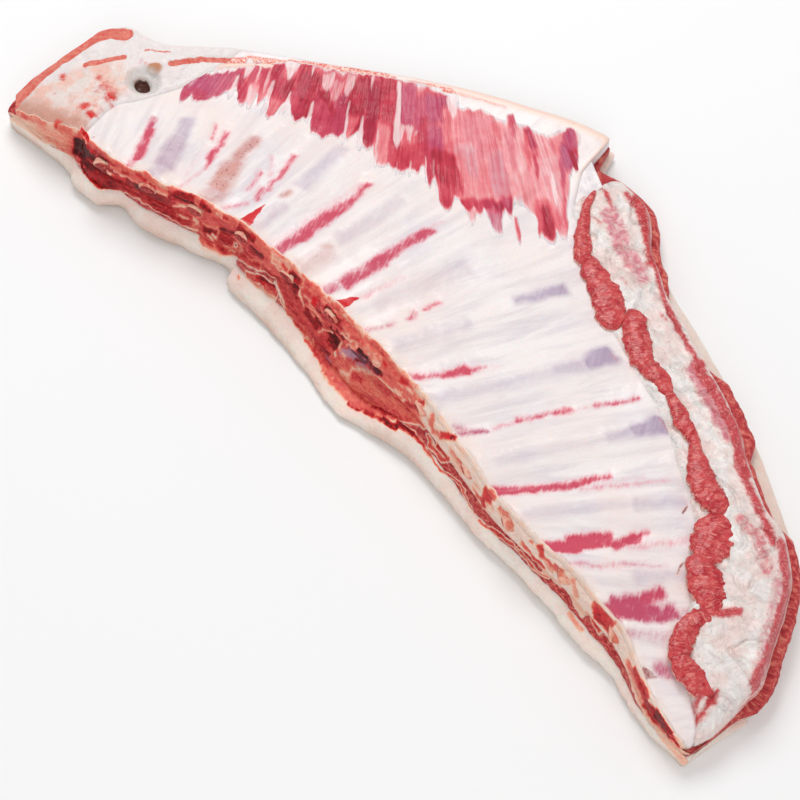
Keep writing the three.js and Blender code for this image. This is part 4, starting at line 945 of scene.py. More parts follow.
panel = Flesh("membrane_silver_moist", depth=1.4, soak=0.1, coat=0.25)
run = panel.mark("run", 1)
fibre = panel.mark("fibre", 1)
streaks = run.stretched(0.2, 0.025, 1).clouds(1, 4, 0.55, 0.4)
veins = run.stretched(0.6, 0.09, 1).clouds(1, 4, 0.6, 0.6)
mist = panel.place.clouds(0.03, 3)
fine = panel.place.clouds(0.9, 3)
strands = fibre.stretched(0.55, 0.035, 1).clouds(1, 4, 0.65, 0.3)
hatch = fibre.stretched(0.9, 0.13, 1).clouds(1, 3, 0.6)
speck = panel.place.clouds(0.8, 4, 0.7)
colour = (streaks * 0.8 + mist * 0.2).rise(0.36, 0.6).tint(MEMBRANE_COOL, MEMBRANE)
colour = colour.into(MEMBRANE_WARM, panel.mark("warm") * (0.3 + mist))
violet = strands.rise(0.0, 1.5).tint(BONE_VIOLET, MEMBRANE_COOL)
brown = speck.rise(0.3, 0.46).tint(SPOT_BROWN, BONE_BROWN)
tinted = violet.into(brown, panel.mark("brown"))
colour = colour.into(tinted, panel.mark("bone") * (0.8 + veins * 0.7))
level = panel.mark("band") * (0.3 + hatch * 1.7) + (fine - 0.5) * 0.3
red = level.ramp(*BAND_STOPS).into(BAND_PURPLE, panel.mark("purple") * 0.6)
colour = colour.into(red, level.rise(0.0, 0.9))
colour = colour.into(PEACH, panel.mark("peach") * (0.4 + speck))
blood = panel.mark("brown").tint(SPOT_RED, SPOT_BROWN)
colour = colour.into(blood, (panel.mark("spot") + (speck - 0.5) * 0.6).rise(0.25, 0.75))
coral = speck.rise(0.4, 0.62).tint(CORAL, EDGE_CREAM)
colour = colour.into(coral, (panel.mark("coral") + (speck - 0.5) * 0.5).rise(0.12, 0.45))
colour = colour.into(EDGE_CREAM, panel.mark("wall"))
colour, cut_grain = panel.cut(colour)
bumps = fine * 0.3 + veins * 0.6 + cut_grain * panel.mark("wall") * 1.2
panel_material = panel.end(colour, 0.22 + streaks * 0.2 + panel.mark("wall") * 0.12, bumps, 0.55)

COLUMNS = 150
place = along_slab(PANEL_FIRST, TOP_LAST, 560)
share = np.linspace(0, 1, COLUMNS)[None, :] * panel_end(place)
turned = (place - PANEL_FIRST) / (TURN_LAST - PANEL_FIRST)
turning = between(brisket_end(share) + 0.01, TURN_LAST, np.minimum(turned, 1))
rib = np.where(turned >= 1, place + 0 * share, turning)
x, y = across(rib, share)
from_edge = np.hypot(x - x[:, :1], y - y[:, :1])
to_end = np.hypot(x - x[:, -1:], y - y[:, -1:])
wobbly_x = x + 2.4 * (hills(x / 5, y / 5, 21) - 0.5)
wobbly_y = y + 2.4 * (hills(x / 5, y / 5, 22) - 0.5)
uneven = 0.62 + 0.76 * hills(x / 5, y / 5, 23)


def strokes(table, blur, fade):
    """The strength of the strongest stroke of a table at each point, and that stroke's last number."""
    strength, kind = 0 * x, 0 * x
    for rib0, share0, rib1, share1, wide0, wide1, most, tone in table:
        first, last = across(rib0, share0), across(rib1, share1)
        here = most * smear(wobbly_x, wobbly_y, first, last, (wide0, wide1), blur, fade) * uneven
        kind = np.where(here > strength, tone, kind)
        strength = np.maximum(strength, here)
    return strength, kind


band, purple = strokes(BANDS, 3.0, 4)
bone, brown = strokes(TINTS, 2.6, 4)
spot, rusty = strokes(SPOTS, 0.9, 1.2)
coral, _ = strokes(CORALS, 1.6, 3)
brown = np.where(spot > 0.1, rusty, brown)
fibre = np.stack([0.87 * x + 0.49 * y, 0.49 * x - 0.87 * y, 0 * x], -1)
peach = (1 - smooth(to_end, 2, 7)) * smooth(rib, 3.2, 4.4) * (1 - smooth(rib, 6, 6.2))
peach = np.maximum(peach, near_line(x, y, CORD, 2.6, 1.4))
warm = np.clip(1.6 * hills(x / 22, y / 22, 32, 2) - 0.5, 0, 1) + (1 - smooth(from_edge, 2, 9)) * 0.8

at_edge = 1 - smooth(from_edge, 1, 4.5)
edge_lumps = 2.6 * (hills(sawn_length(rib) / 3.4, from_edge / 3.2, 27) - 0.45) * at_edge
cord = near_line(x, y, CORD, 1.2, 1.4)
droop = rounding(from_edge) + 0.8 * (1 - smooth(to_end, 0, 1.6))
height = wall_level(x, y, rib, share) - droop - 0.6 * np.clip(band, 0, 1)
height = height + edge_lumps - 0.5 * coral + 0.9 * cord
top = np.stack([x, y, height], -1)

near_rib, far_rib, far_share = rib[:, :1], rib[:, -1:], share[:, -1:]
spread = sawn_spread(near_rib)
length = sawn_length(near_rib)
floor_here, roof_here = panel_floor(near_rib, 0), height[:, :1]
deepness = roof_here - floor_here
near = bend(np.stack([
    stack(0.22 * spread - 0.5, 0.22 * spread + 0.3, 0.14 * spread + 0.5, 0.07 * spread + 0.5, 0 * spread),
    stack(
        floor_here - 0.3, floor_here + 0.12 * deepness, floor_here + 0.45 * deepness,
        floor_here + 0.8 * deepness, roof_here,
    ),
], -1), 17)[:, :-1]
reach, z = near[..., 0], near[..., 1]
rise = (z - floor_here) / deepness
wall_tone, wall_blood, wall_violet, relief = sawn_face(near_rib, reach, z)
top_tone, top_blood, _, _ = sawn_face(rib, -from_edge, np.minimum(height, sawn_height(rib) + 0.5))
lumps = 1.4 * (hills(length / 4, z / 2.6, 29) - 0.5) + 0.9 * (hills(length / 1.6, z / 1.1, 30) - 0.5)
reach = reach + (lumps + relief) * smooth(rise, 0, 0.2) * (1 - smooth(rise, 0.8, 1))
wall_x, wall_y = sawn_point(near_rib, reach)
near_wall = np.stack([wall_x, wall_y, z], -1)
drop = np.linspace(0, 1, 6)[None, 1:-1]
end_x, end_y = x[:, -1:], y[:, -1:]
end_z = between(height[:, -1:], panel_floor(far_rib, far_share), drop)
far_wall = np.stack([end_x + 0 * end_z, end_y + 0 * end_z, end_z], -1)
low_share = far_share * np.linspace(1, 0, 6)[None, 1:-1]
low_turned = np.minimum(turned, 1)
low_rib = np.where(turned >= 1, place, between(brisket_end(low_share) + 0.01, TURN_LAST, low_turned))
low_x, low_y = across(low_rib, low_share, 0.22 * sawn_spread(low_rib) - 0.5)
lower = np.stack([low_x, low_y, panel_floor(low_rib, low_share)], -1)
rings = np.concatenate([near_wall, top, far_wall, lower], 1)
walls = near_wall.shape[1]
rest = far_wall.shape[1] + lower.shape[1]


def on_ring(near, top, far=0.0):
    """A mark for whole rings: its numbers on the near wall, on the top, and one number on the rest."""
    near = np.broadcast_to(near, (len(top), walls))
    return np.concatenate([near, top, np.full((len(top), rest), float(far))], 1)


top_wall = 1 - smooth(from_edge, 0.6, 2.4)
fibre_ring = np.zeros(rings.shape)
fibre_ring[:, walls:walls + COLUMNS] = fibre
run_ring = np.zeros(rings.shape)
run_ring[:, walls:walls + COLUMNS] = np.stack([rib * RIB_SPACING, from_edge, 0 * x], -1)
# Only its far end is blunt: the near one lies under the brisket lump
NO_BLUNT_END = -9
chest_wall = skin("chest_wall", blunt(rings, place, NO_BLUNT_END, TOP_LAST, 0.1), {
    "way": grain_way(length, rings), "fibre": fibre_ring, "run": run_ring,
    "band": on_ring(0, band), "purple": on_ring(0, purple), "bone": on_ring(0, bone),
    "brown": on_ring(0, brown), "spot": on_ring(0, spot), "coral": on_ring(0, coral),
    "peach": on_ring(0, peach), "warm": on_ring(0, warm), "wall": on_ring(1, top_wall),
    "tone": on_ring(wall_tone, top_tone, 1), "blood": on_ring(wall_blood, top_blood),
    "violet": on_ring(wall_violet, 0 * x),
}, panel_material, ["rib_panel"])


# Breast muscle
# The thin dark red muscle that fans out from the breastbone over the far part of the chest wall, with white
# tendons between its fingers. It is a closed sheet over the wall, and dips under it where there is no muscle.

# Middle of the fan, in plan. A place in it is an angle in degrees and a distance in mm from here
FAN = (-266, 231)
# Each strand of muscle: degree, mm, degree, mm, width at the first and at the second in degrees, cover, depth
# of its red, and purple
FIBRES = [
    (-68.9, 256, -68.7, 274, 1.6, 0.9, 0.9, 0.6, 0.8), (-67.9, 253, -67.7, 271, 1.5, 1.4, 1, 0.62, 0.8),
    (-66.8, 250, -66.7, 270, 1.5, 1.4, 1, 0.62, 0.75), (-65.8, 246, -65.8, 266, 1.3, 1.1, 1, 0.6, 0.6),
    (-65.1, 243, -65.1, 259, 0.8, 0.6, 0.9, 0.6, 0.5), (-68.8, 265, -68.6, 275, 0.9, 0.6, 1, 0.8, 0.4),
    (-67.6, 264, -67.2, 271, 1.8, 1.6, 1, 0.85, 0.3), (-64.6, 247, -64.2, 255, 1, 1, 0.9, 0.9, 0.2),
    (-64, 250, -63, 265, 1.5, 0.9, 1, 0.85, 0.1), (-63.7, 237, -63.2, 252, 0.8, 1, 0.9, 0.8, 0.2),
    (-62.5, 237, -61.6, 257, 1, 0.6, 0.9, 0.75, 0.1), (-62.6, 250, -62.2, 267, 1.1, 0.8, 0.6, 0.25, 0),
    (-61.5, 248, -61.4, 263, 0.6, 0.5, 0.85, 0.5, 0), (-61.1, 233, -60.6, 253, 1.4, 1.2, 1, 0.85, 0.1),
    (-60.1, 240, -59.7, 266, 1.7, 1.1, 1, 0.9, 0.1), (-59.8, 255, -59.7, 271, 1.2, 0.8, 1, 0.5, 0),
    (-59, 240, -58.9, 255, 1.3, 1, 1, 1, 0), (-58, 230, -57.7, 252, 1.7, 1.5, 1, 0.85, 0),
    (-57.3, 236, -57, 269, 1.7, 1.5, 1, 0.9, 0.1), (-58.2, 248, -57.6, 263, 0.6, 1, 1, 0.75, 0.1),
    (-56.3, 235, -56.1, 267, 1.3, 0.9, 1, 0.95, 0), (-55.3, 246, -54.6, 274, 1.4, 1.5, 1, 0.8, 0.2),
    (-54.2, 250, -53.9, 277, 1.7, 1.4, 1, 0.8, 0.2), (-52.9, 245, -52.7, 276, 1.6, 1.5, 1, 0.85, 0.3),
    (-52, 235, -51.9, 259, 1, 0.9, 1, 0.95, 0), (-55.4, 244, -53.4, 260, 1, 1, 1, 1, 0),
    (-50.9, 232, -51.2, 274, 1.7, 1.2, 1, 0.95, 0), (-51.3, 258, -51.5, 276, 1, 0.7, 1, 0.5, 0),
    (-49.6, 235, -49.4, 282, 1.9, 1, 1, 1, 0.1), (-48.3, 232, -48.2, 262, 1.7, 1.5, 1, 0.9, 0),
    (-47.4, 235, -47.3, 288, 1.1, 1.3, 1, 0.85, 0), (-48.2, 262, -48.1, 291, 1.4, 1.4, 0.9, 0.45, 0),
    (-45.9, 235, -45.8, 264, 2, 1.8, 0.85, 0.62, 0.6), (-44.4, 242, -44.6, 266, 1.5, 1.3, 0.85, 0.6, 0.5),
    (-43.9, 256, -44.3, 286, 1, 1.3, 1, 0.85, 0.1), (-46.3, 275, -46.1, 295, 1.9, 1.5, 1, 0.8, 0),
    (-45, 273, -44.9, 294, 1.5, 1.3, 1, 0.75, 0), (-46.9, 279, -46.9, 291, 0.9, 0.7, 1, 0.8, 0),
    (-43.2, 242, -43.1, 262, 1.3, 1.3, 0.95, 0.75, 0.7), (-42.1, 242, -41.9, 262, 1.3, 1.1, 0.95, 0.8, 0.6),
    (-41.6, 249, -41.4, 278, 0.9, 1.3, 1, 0.5, 0), (-43, 261, -42.9, 283, 1.5, 1.4, 0.9, 0.65, 0.6),
    (-43.5, 276, -43.6, 302, 1, 0.7, 1, 0.85, 0.1), (-42.7, 277, -42.4, 302, 1.3, 1.5, 1, 0.95, 0),
    (-42.4, 298, -42.1, 316, 1.4, 1, 1, 0.8, 0), (-41.8, 279, -41.2, 307, 1.1, 1.3, 1, 0.85, 0),
    (-40.8, 258, -40.6, 275, 1.1, 1, 0.9, 0.42, 0), (-39.6, 256, -39.4, 281, 1.5, 1.5, 0.8, 0.4, 0.15),
    (-38.6, 252, -38.6, 283, 1.3, 1.5, 0.85, 0.4, 0.15), (-37.4, 258, -37.4, 286, 1.3, 1.3, 0.8, 0.38, 0.1),
    (-36.6, 262, -36.6, 273, 1, 0.9, 0.9, 0.5, 0), (-39.9, 283, -39.5, 297, 1.5, 1.1, 0.5, 0.3, 0.3),
    (-37.3, 280, -37.4, 312, 1.5, 1.5, 0.5, 0.28, 0.4), (-40.4, 274, -39.6, 285, 1.8, 2.2, 0.5, 0.25, 0.3),
    (-35, 256, -35.1, 273, 0.8, 0.8, 0.95, 0.7, 0.2), (-35.6, 265, -35.9, 293, 0.8, 0.7, 0.6, 0.4, 0.2),
    (-40.5, 308, -40.4, 319, 1, 1, 1, 0.75, 0), (-39.6, 309, -39.6, 320, 1, 0.9, 1, 0.75, 0.1),
    (-38.8, 310, -38.5, 323, 0.9, 1, 1, 0.9, 0.2), (-37.9, 313, -37.9, 322, 1, 1, 1, 1, 0.2),
    (-37.1, 310, -37.1, 321, 0.9, 0.8, 1, 0.85, 0.4), (-38.4, 319, -38.3, 332, 1.3, 0.8, 0.7, 0.45, 0.7),
    (-40.1, 317, -40.3, 327, 0.7, 0.4, 0.6, 0.4, 0), (-33.6, 267, -33.5, 283, 0.5, 0.8, 1, 0.95, 0.3),
    (-33.9, 271, -34.5, 294, 0.5, 0.5, 0.9, 0.6, 0), (-33.5, 283, -34, 300, 0.6, 0.4, 0.95, 0.85, 0.1),
    (-31.7, 275, -31.6, 285, 0.7, 0.6, 0.5, 0.45, 0.1), (-29.6, 271, -30, 282, 0.9, 1.8, 1, 0.8, 0.7),
    (-30.1, 280, -30.9, 298, 1.7, 1.3, 1, 0.75, 0.9), (-31.2, 287, -31.9, 305, 0.5, 0.5, 0.9, 0.65, 0.6),
    (-30.1, 283, -30.3, 299, 0.5, 0.4, 1, 1.1, 0), (-29.8, 282, -29.6, 289, 0.5, 0.5, 1, 0.95, 0),
    (-32, 300, -32.4, 318, 0.4, 0.4, 0.9, 0.65, 0.3), (-32.3, 314, -33.1, 336, 0.5, 0.5, 0.85, 0.5, 0.1),
    (-33.8, 310, -34, 323, 0.7, 0.9, 0.8, 0.6, 0), (-34.2, 315, -34.3, 338, 0.9, 1.2, 1, 1, 0),
    (-34.5, 311, -35, 333, 0.4, 0.5, 0.9, 0.65, 0), (-33.4, 318, -33.3, 335, 0.5, 0.5, 0.7, 0.5, 0),
    (-36.6, 320, -36.8, 337, 0.4, 0.3, 0.8, 0.5, 0), (-32.8, 285, -32.9, 318, 1.6, 1.2, 0.3, 0.25, 0.1),
]
# The thin muscle that joins the fingers: degree, near and far end in mm, cover, depth of its red
BODY = [
    [-70.2, 260, 262, 0.3, 0.5], [-69, 255, 272, 0.9, 0.55], [-66, 246, 267, 1, 0.6],
    [-64, 238, 259, 0.95, 0.6], [-62, 234, 258, 0.9, 0.55], [-60, 231, 264, 1, 0.62],
    [-58, 228, 259, 1, 0.66], [-56, 228, 265, 1, 0.7], [-54, 228, 274, 1, 0.7], [-52, 228, 272, 1, 0.66],
    [-50, 228, 279, 1, 0.66], [-48, 228, 287, 1, 0.62], [-46, 231, 291, 1, 0.55], [-44, 234, 296, 1, 0.58],
    [-42, 238, 309, 1, 0.5], [-40.5, 247, 314, 0.95, 0.38], [-38, 250, 320, 0.9, 0.34],
    [-36, 257, 318, 0.8, 0.3], [-34, 262, 334, 0.75, 0.34], [-32.5, 268, 330, 0.7, 0.36],
    [-31, 270, 304, 0.75, 0.45], [-29.5, 268, 290, 0.6, 0.5], [-28.6, 268, 282, 0.2, 0.4],
]
# White tendons and veils over it: degree, mm, degree, mm, the two widths in degrees, and strength
TENDONS = [
    (-67.6, 246, -67.3, 255, 0.6, 0.1, 1), (-66.9, 245, -66.6, 253, 0.55, 0.1, 1),
    (-66.1, 243, -65.9, 251, 0.5, 0.1, 1), (-65.5, 241, -65.4, 249, 0.45, 0.1, 0.9),
    (-68.3, 249, -68, 257, 0.5, 0.1, 0.9), (-69.2, 254, -68.9, 266, 1.1, 0.7, 0.6),
    (-64.3, 237, -64.1, 249, 1.2, 0.8, 0.9), (-63, 237, -62.7, 251, 0.4, 0.3, 0.75),
    (-61.9, 237, -61.3, 257, 0.35, 0.3, 0.65), (-63, 250, -62.3, 267, 0.4, 0.4, 0.7),
    (-61, 244, -60.6, 269, 0.5, 0.55, 0.75), (-64.9, 247, -64.5, 263, 0.3, 0.7, 0.85),
    (-59.75, 229, -59.4, 243, 1.5, 0.7, 0.97), (-58.6, 248, -58.6, 266, 0.2, 1, 0.9),
    (-57.3, 227, -57, 240, 0.8, 0.1, 0.8), (-55.95, 252, -55.85, 269, 0.3, 0.5, 0.9),
    (-52.1, 247, -51.85, 279, 0.2, 0.4, 0.9), (-55.2, 232, -54.8, 247, 1.7, 1, 0.75),
    (-53.9, 235, -54, 253, 1.9, 0.7, 0.55), (-52.4, 231, -52.7, 249, 1.4, 0.5, 0.7),
    (-53.8, 230, -53.8, 236, 4.6, 4.2, 0.5), (-50.5, 257, -50.2, 283, 0.1, 0.9, 0.95),
    (-49.9, 229, -50, 245, 0.6, 0.1, 0.75), (-48.7, 266, -48.5, 293, 0.2, 0.4, 0.75),
    (-46.9, 233, -46.7, 279, 0.45, 0.8, 0.95), (-46.2, 261, -46.6, 277, 1, 0.5, 0.75),
    (-45.5, 261, -45.5, 275, 1, 0.3, 0.7), (-44.7, 263, -45, 271, 0.6, 0.2, 0.6),
    (-46.6, 286, -46.55, 297, 0.1, 0.3, 0.8), (-45.4, 284, -45.4, 297, 0.1, 0.4, 0.8),
    (-43.25, 284, -43.1, 305, 0.12, 0.2, 0.7), (-44, 282, -44, 300, 0.1, 0.35, 0.9),
    (-40.9, 243, -40.9, 259, 1.3, 0.7, 0.9), (-46.2, 230, -46, 238, 1.6, 1.4, 0.5),
    (-44.5, 230, -44.3, 242, 2, 1.6, 0.55), (-42.6, 232, -42.4, 241, 1.6, 1.4, 0.5),
    (-36, 268, -36.2, 300, 0.3, 0.3, 0.5), (-38, 284, -38.2, 308, 0.3, 0.3, 0.4),
    (-32.6, 296, -33.1, 318, 0.3, 0.4, 0.9), (-34.75, 262, -34.9, 300, 0.25, 0.25, 0.6),
]

FLESH_STOPS = [
    (0.0, ink(247, 206, 208)), (0.3, ink(242, 154, 158)), (0.55, ink(228, 100, 112)), (0.8, ink(206, 56, 78)),
    (1.0, ink(172, 22, 50)),
]
FLESH_PURPLE = ink(172, 72, 120)
VEIL = ink(247, 222, 222)
SHEET_THICKNESS = 1.2
# The sheet's lower side has one point for so many of the upper side's
LOWER_STEP = 6
FAN_FIRST = -70.2
FAN_END = -28.6
FAN_NEAR = 228
FAN_FAR = 341

muscle_sheet = Flesh("breast_muscle_moist", depth=1.2, soak=0.08, coat=0.2)
fibre = muscle_sheet.mark("fibre", 1)
silk = fibre.stretched(1.1, 0.07, 1).clouds(1, 3, 0.6, 0.3)
strands = fibre.stretched(0.6, 0.03, 1).clouds(1, 4, 0.65, 0.4)
mist = muscle_sheet.place.clouds(0.15, 3)
colour = mist.rise(0.36, 0.6).tint(MEMBRANE_COOL, MEMBRANE)
deep = muscle_sheet.mark("deep") + (strands - 0.5) * 0.7 + (mist - 0.5) * 0.4
flesh = deep.ramp(*FLESH_STOPS).into(FLESH_PURPLE, muscle_sheet.mark("plum") * 0.75)
colour = colour.into(flesh, (muscle_sheet.mark("muscle") + (silk - 0.5) * 0.9).rise(0.15, 0.8))
colour = colour.into(VEIL, (muscle_sheet.mark("veil") + (silk - 0.5) * 0.9).rise(0.3, 1.0) * 0.85)
muscle_material = muscle_sheet.end(colour, 0.24 + silk * 0.2, strands * 1.6 + silk * 0.6, 0.5)

angle = np.linspace(FAN_FIRST, FAN_END, 420)[:, None]
radius = np.linspace(FAN_NEAR, FAN_FAR, 170)[None, :]
angle, radius = angle + 0 * radius, radius + 0 * angle
x = FAN[0] + radius * np.cos(np.radians(angle))
y = FAN[1] + radius * np.sin(np.radians(angle))
# The rib and share of each place: a guess, made better by thirty of Newton's steps
rib = between(1.4, 6, (angle + 69) / 39.4)
share = 0.85 + 0 * rib
SMALL = 0.001
for _ in range(30):
    a, b = across(rib, share)
    a_rib, b_rib = [(moved - here) / SMALL for moved, here in zip(across(rib + SMALL, share), (a, b))]
    a_share, b_share = [(moved - here) / SMALL for moved, here in zip(across(rib, share + SMALL), (a, b))]
    size = a_rib * b_share - a_share * b_rib
    rib_step = (b_share * (x - a) - a_share * (y - b)) / size
    share_step = (a_rib * (y - b) - b_rib * (x - a)) / size
    rib = np.clip(rib + np.clip(rib_step, -0.25, 0.25), 0.4, 7)
    share = np.clip(share + np.clip(share_step, -0.08, 0.08), 0.2, 0.99)
x, y = across(rib, share)
frayed = radius + 5 * (hills(angle * 1.7, radius / 40, 24) - 0.5)
swayed = angle + 0.3 * (hills(angle * 2, radius / 9, 25, 2) - 0.5)


def fan_stroke(angle0, radius0, angle1, radius1, wide0, wide1):
    """A stroke along the fibres, as smear(), with a rounded and frayed far end."""
    along = np.clip((frayed - radius0) / (radius1 - radius0), 0, 1)
    half = between(wide0, wide1, along) / 2
    off = np.abs(swayed - between(angle0, angle1, along))
    sides = 1 - smooth(off, half - 0.16, half + 0.22)
    round_end = radius1 - 5 * (off / half) ** 2
    far = 1 - smooth(frayed, round_end - 4, round_end + 3)
    return sides * smooth(frayed, radius0 - 2, radius0 + 3) * far


near_end, far_end, body, body_depth = [through(BODY, number) for number in (1, 2, 3, 4)]
muscle = body(angle) * smooth(frayed, near_end(angle), near_end(angle) + 7)
muscle = muscle * (1 - smooth(frayed, far_end(angle) - 9, far_end(angle) - 1))
deep, plum, veil = body_depth(angle), 0 * x, 0 * x
for *stroke, cover, depth, purple_here in FIBRES:
    here = fan_stroke(*stroke)
    muscle = muscle + (1 - muscle) * here * cover
    deep = between(deep, depth, here)
    plum = between(plum, purple_here, here)
for *stroke, strength in TENDONS:
    veil = np.maximum(veil, strength * fan_stroke(*stroke))
deep = deep - 0.2 * (1 - smooth(muscle, 0.2, 0.95))
fibre_x = np.radians(angle) * 280
top_edge = 1 - smooth(share - panel_end(rib), -0.045, -0.02)
muscle, veil = muscle * top_edge, veil * top_edge
shown = smooth(np.maximum(muscle, veil), 0.02, 0.22)
strand_lumps = 1.1 * (hills(fibre_x / 2.2, radius / 26, 28, 2) - 0.5)
strand_lumps = strand_lumps + 0.5 * (hills(fibre_x / 0.9, radius / 9, 34, 2) - 0.5)
height = wall_level(x, y, rib, share) + between(-1.1, 0.25, shown)
height = height + muscle * (0.3 + 0.7 * strand_lumps) + 0.25 * veil
top = np.stack([x, y, height], -1)
under = top[:, ::-LOWER_STEP] - np.array([0, 0, SHEET_THICKNESS])
rings = np.concatenate([top, under], 1)


def upper_side(value):
    """A mark for the upper side of each ring, and 0 for the lower side."""
    return np.concatenate([value, 0 * value[:, ::-LOWER_STEP]], 1)


breast_muscle = skin("breast_muscle", rings, {
    "fibre": upper_side(np.stack([fibre_x, radius, 0 * x], -1)),
    "muscle": upper_side(muscle), "deep": upper_side(deep),
    "plum": upper_side(plum), "veil": upper_side(veil),
}, muscle_material, ["rib_panel"])


# Brisket lump
# The thick tip at the breastbone: soft white fat with red-speckled marrow, a hollow with a hole, and
# slivers of muscle; the shade in the hollow and in the hole is painted on, grey and dark brown. A skin of
# rings that run across the slab; its last ones lie thin over the chest wall.

BRISKET_FIRST = -0.88
BRISKET_BULGE = 3
# Marrow and blood that shows in it: place [rib, share], half width, strength
MARROW = [
    [(0.14, 0.52), 3.2, 0.7], [(0.3, 0.44), 4.6, 0.9], [(0.52, 0.4), 3.6, 1.0], [(0.68, 0.37), 2.4, 0.7],
    [(0.04, 0.25), 3.4, 1.0], [(0.2, 0.2), 2.6, 1.1], [(0.57, 0.22), 1.8, 0.8], [(-0.33, 0.66), 2.2, 1.0],
    [(-0.39, 0.45), 1.2, 0.7], [(-0.29, 0.04), 2.4, 0.9], [(0.96, 0.78), 3.0, 0.5], [(0.3, 0.3), 4.0, 0.5],
    [(0.02, 0.0), 2.4, 1.0],
]
# Slivers of muscle, and the coral rims of the tip: places along each, half width in mm, strength
SLIVERS = [
    [[(-0.86, 0.72), (-0.74, 0.86), (-0.56, 0.94), (-0.42, 0.97)], 5.4, 1.0],
    [[(-0.36, 0.93), (-0.1, 0.94), (0.15, 0.93), (0.35, 0.91)], 4.0, 1.0],
    [[(-0.92, 0.5), (-0.9, 0.3)], 3.0, 0.9],
    [[(-0.08, 0.69), (0.18, 0.68), (0.5, 0.73)], 1.6, 1.0], [[(0.9, 0.875), (1.23, 0.92)], 0.7, 0.8],
    [[(1.3, 0.83), (1.62, 0.885), (2.0, 0.92)], 1.6, 0.9], [[(0.3, 0.12), (0.62, 0.17)], 0.6, 0.5],
]
# The hole, and the orange blob by it, in plan
HOLE = (-186.3, -31.8)
BLOB = (-189.0, -21.5)
LUMP_PINK = ink(250, 204, 190)
LUMP_TAN = ink(214, 158, 140)
HOLE_SHADE_BROWN = ink(84, 40, 30)
BLOB_ORANGE = ink(206, 140, 100)
HOLLOW_SHADE_GREY = ink(206, 200, 196)

lump = Flesh("brisket_fat_marrow", depth=2.0, soak=0.2, coat=0.2)
mist = lump.place.clouds(0.12, 4)
speck = lump.place.clouds(0.9, 4, 0.7)
crumbs = lump.place.clouds(0.35, 5, 0.7)
colour = mist.rise(0.4, 0.6).tint(MEMBRANE_WARM, LUMP_PINK)
colour = colour.into(MEMBRANE, lump.mark("white") * 0.9)
colour = colour.into(LUMP_TAN, lump.mark("tan") * (0.5 + mist))
colour, _ = lump.cut(colour)
colour = colour.into(CORAL, (lump.mark("marrow") + (crumbs - 0.5) * 1.9 + (mist - 0.5) * 0.8).rise(0.3, 1.1))
colour = colour.into(SPOT_RED, (lump.mark("marrow") + (speck - 0.5) * 2.4).rise(0.85, 1.25))
meat = crumbs.rise(0.36, 0.64).tint(CORAL, RIM_LIGHT)
colour = colour.into(meat, (lump.mark("sliver") + (speck - 0.5)).rise(0.35, 0.7))
colour = colour.into(BLOB_ORANGE, lump.mark("blob"))
# Painted shade: grey in the hollow round the hole, and dark brown in the hole itself
colour = colour.into(HOLLOW_SHADE_GREY, lump.mark("hollow") * 0.8)
colour = colour.into(HOLE_SHADE_BROWN, (lump.mark("hole") + (speck - 0.5) * 1.2).rise(0.3, 0.7))
lump_material = lump.end(colour, 0.26 + mist * 0.25, speck * 0.6 + crumbs * 1.4, 0.8)

step = np.linspace(0, 1, 130)[:, None]
share = np.linspace(0, 1, 120)[None, :]
rib = between(BRISKET_FIRST, brisket_end(share) + 0.05, step)
x, y = across(rib, share)
fill = BRISKET_BULGE * away_from_tips(rib) * (1 - smooth(step, 0.75, 1))
raised = fill * np.sqrt(np.clip(1 - (2 * share - 1) ** 4, 0, 1))
from_edge = np.hypot(x - x[:, :1], y - y[:, :1])
to_end = np.hypot(x - x[:, -1:], y - y[:, -1:])
marrow, sliver = 0 * x, 0 * x
for spot, half, strength in MARROW:
    a, b = across(*np.array(spot))
    marrow = np.maximum(marrow, strength * (1 - smooth(np.hypot(x - a, y - b), 0, 2.1 * half)))
for line, half, strength in SLIVERS:
    sliver = np.maximum(sliver, strength * near_line(x, y, line, half, 0.8))
# The hole sinks 5 mm and the hollow round it 1.6 mm; the material also paints shade into both
from_hole = np.hypot((x - HOLE[0]) / 1.25, y - HOLE[1])
hole = 1 - smooth(from_hole, 2.6, 4.2)
hollow = (1 - smooth(np.hypot(x - HOLE[0] + 1, y - HOLE[1] - 2), 6, 10)) * (1 - hole)
blob = 1 - smooth(np.hypot(x - BLOB[0], y - BLOB[1]), 2.5, 4.5)
crumbly = (hills(x / 1.6, y / 1.6, 42) - 0.5) * 1.2 * smooth(marrow, 0, 0.6)
rough = (hills(x / 5, y / 5, 41) - 0.5) * 2.2 + crumbly
inside = smooth(step, 0, 0.1) * (1 - smooth(step, 0.9, 1))
inside = inside * smooth(share, 0, 0.06) * (1 - smooth(share, 0.95, 1))
droop = rounding(from_edge) + 1.2 * (1 - smooth(to_end, 0, 2.4))
edge_lift = 0.9 * (1 - smooth(step, 0.95, 1)) - 1.8 * smooth(step, 0.985, 1)
height = base_top(rib, share) + ridges(rib, share) * smooth(step, 0.8, 1) + raised - droop + edge_lift
height = height + rough * inside - 5 * hole - 1.6 * hollow + 1.2 * blob - 0.5 * sliver
top = np.stack([x, y, height], -1)

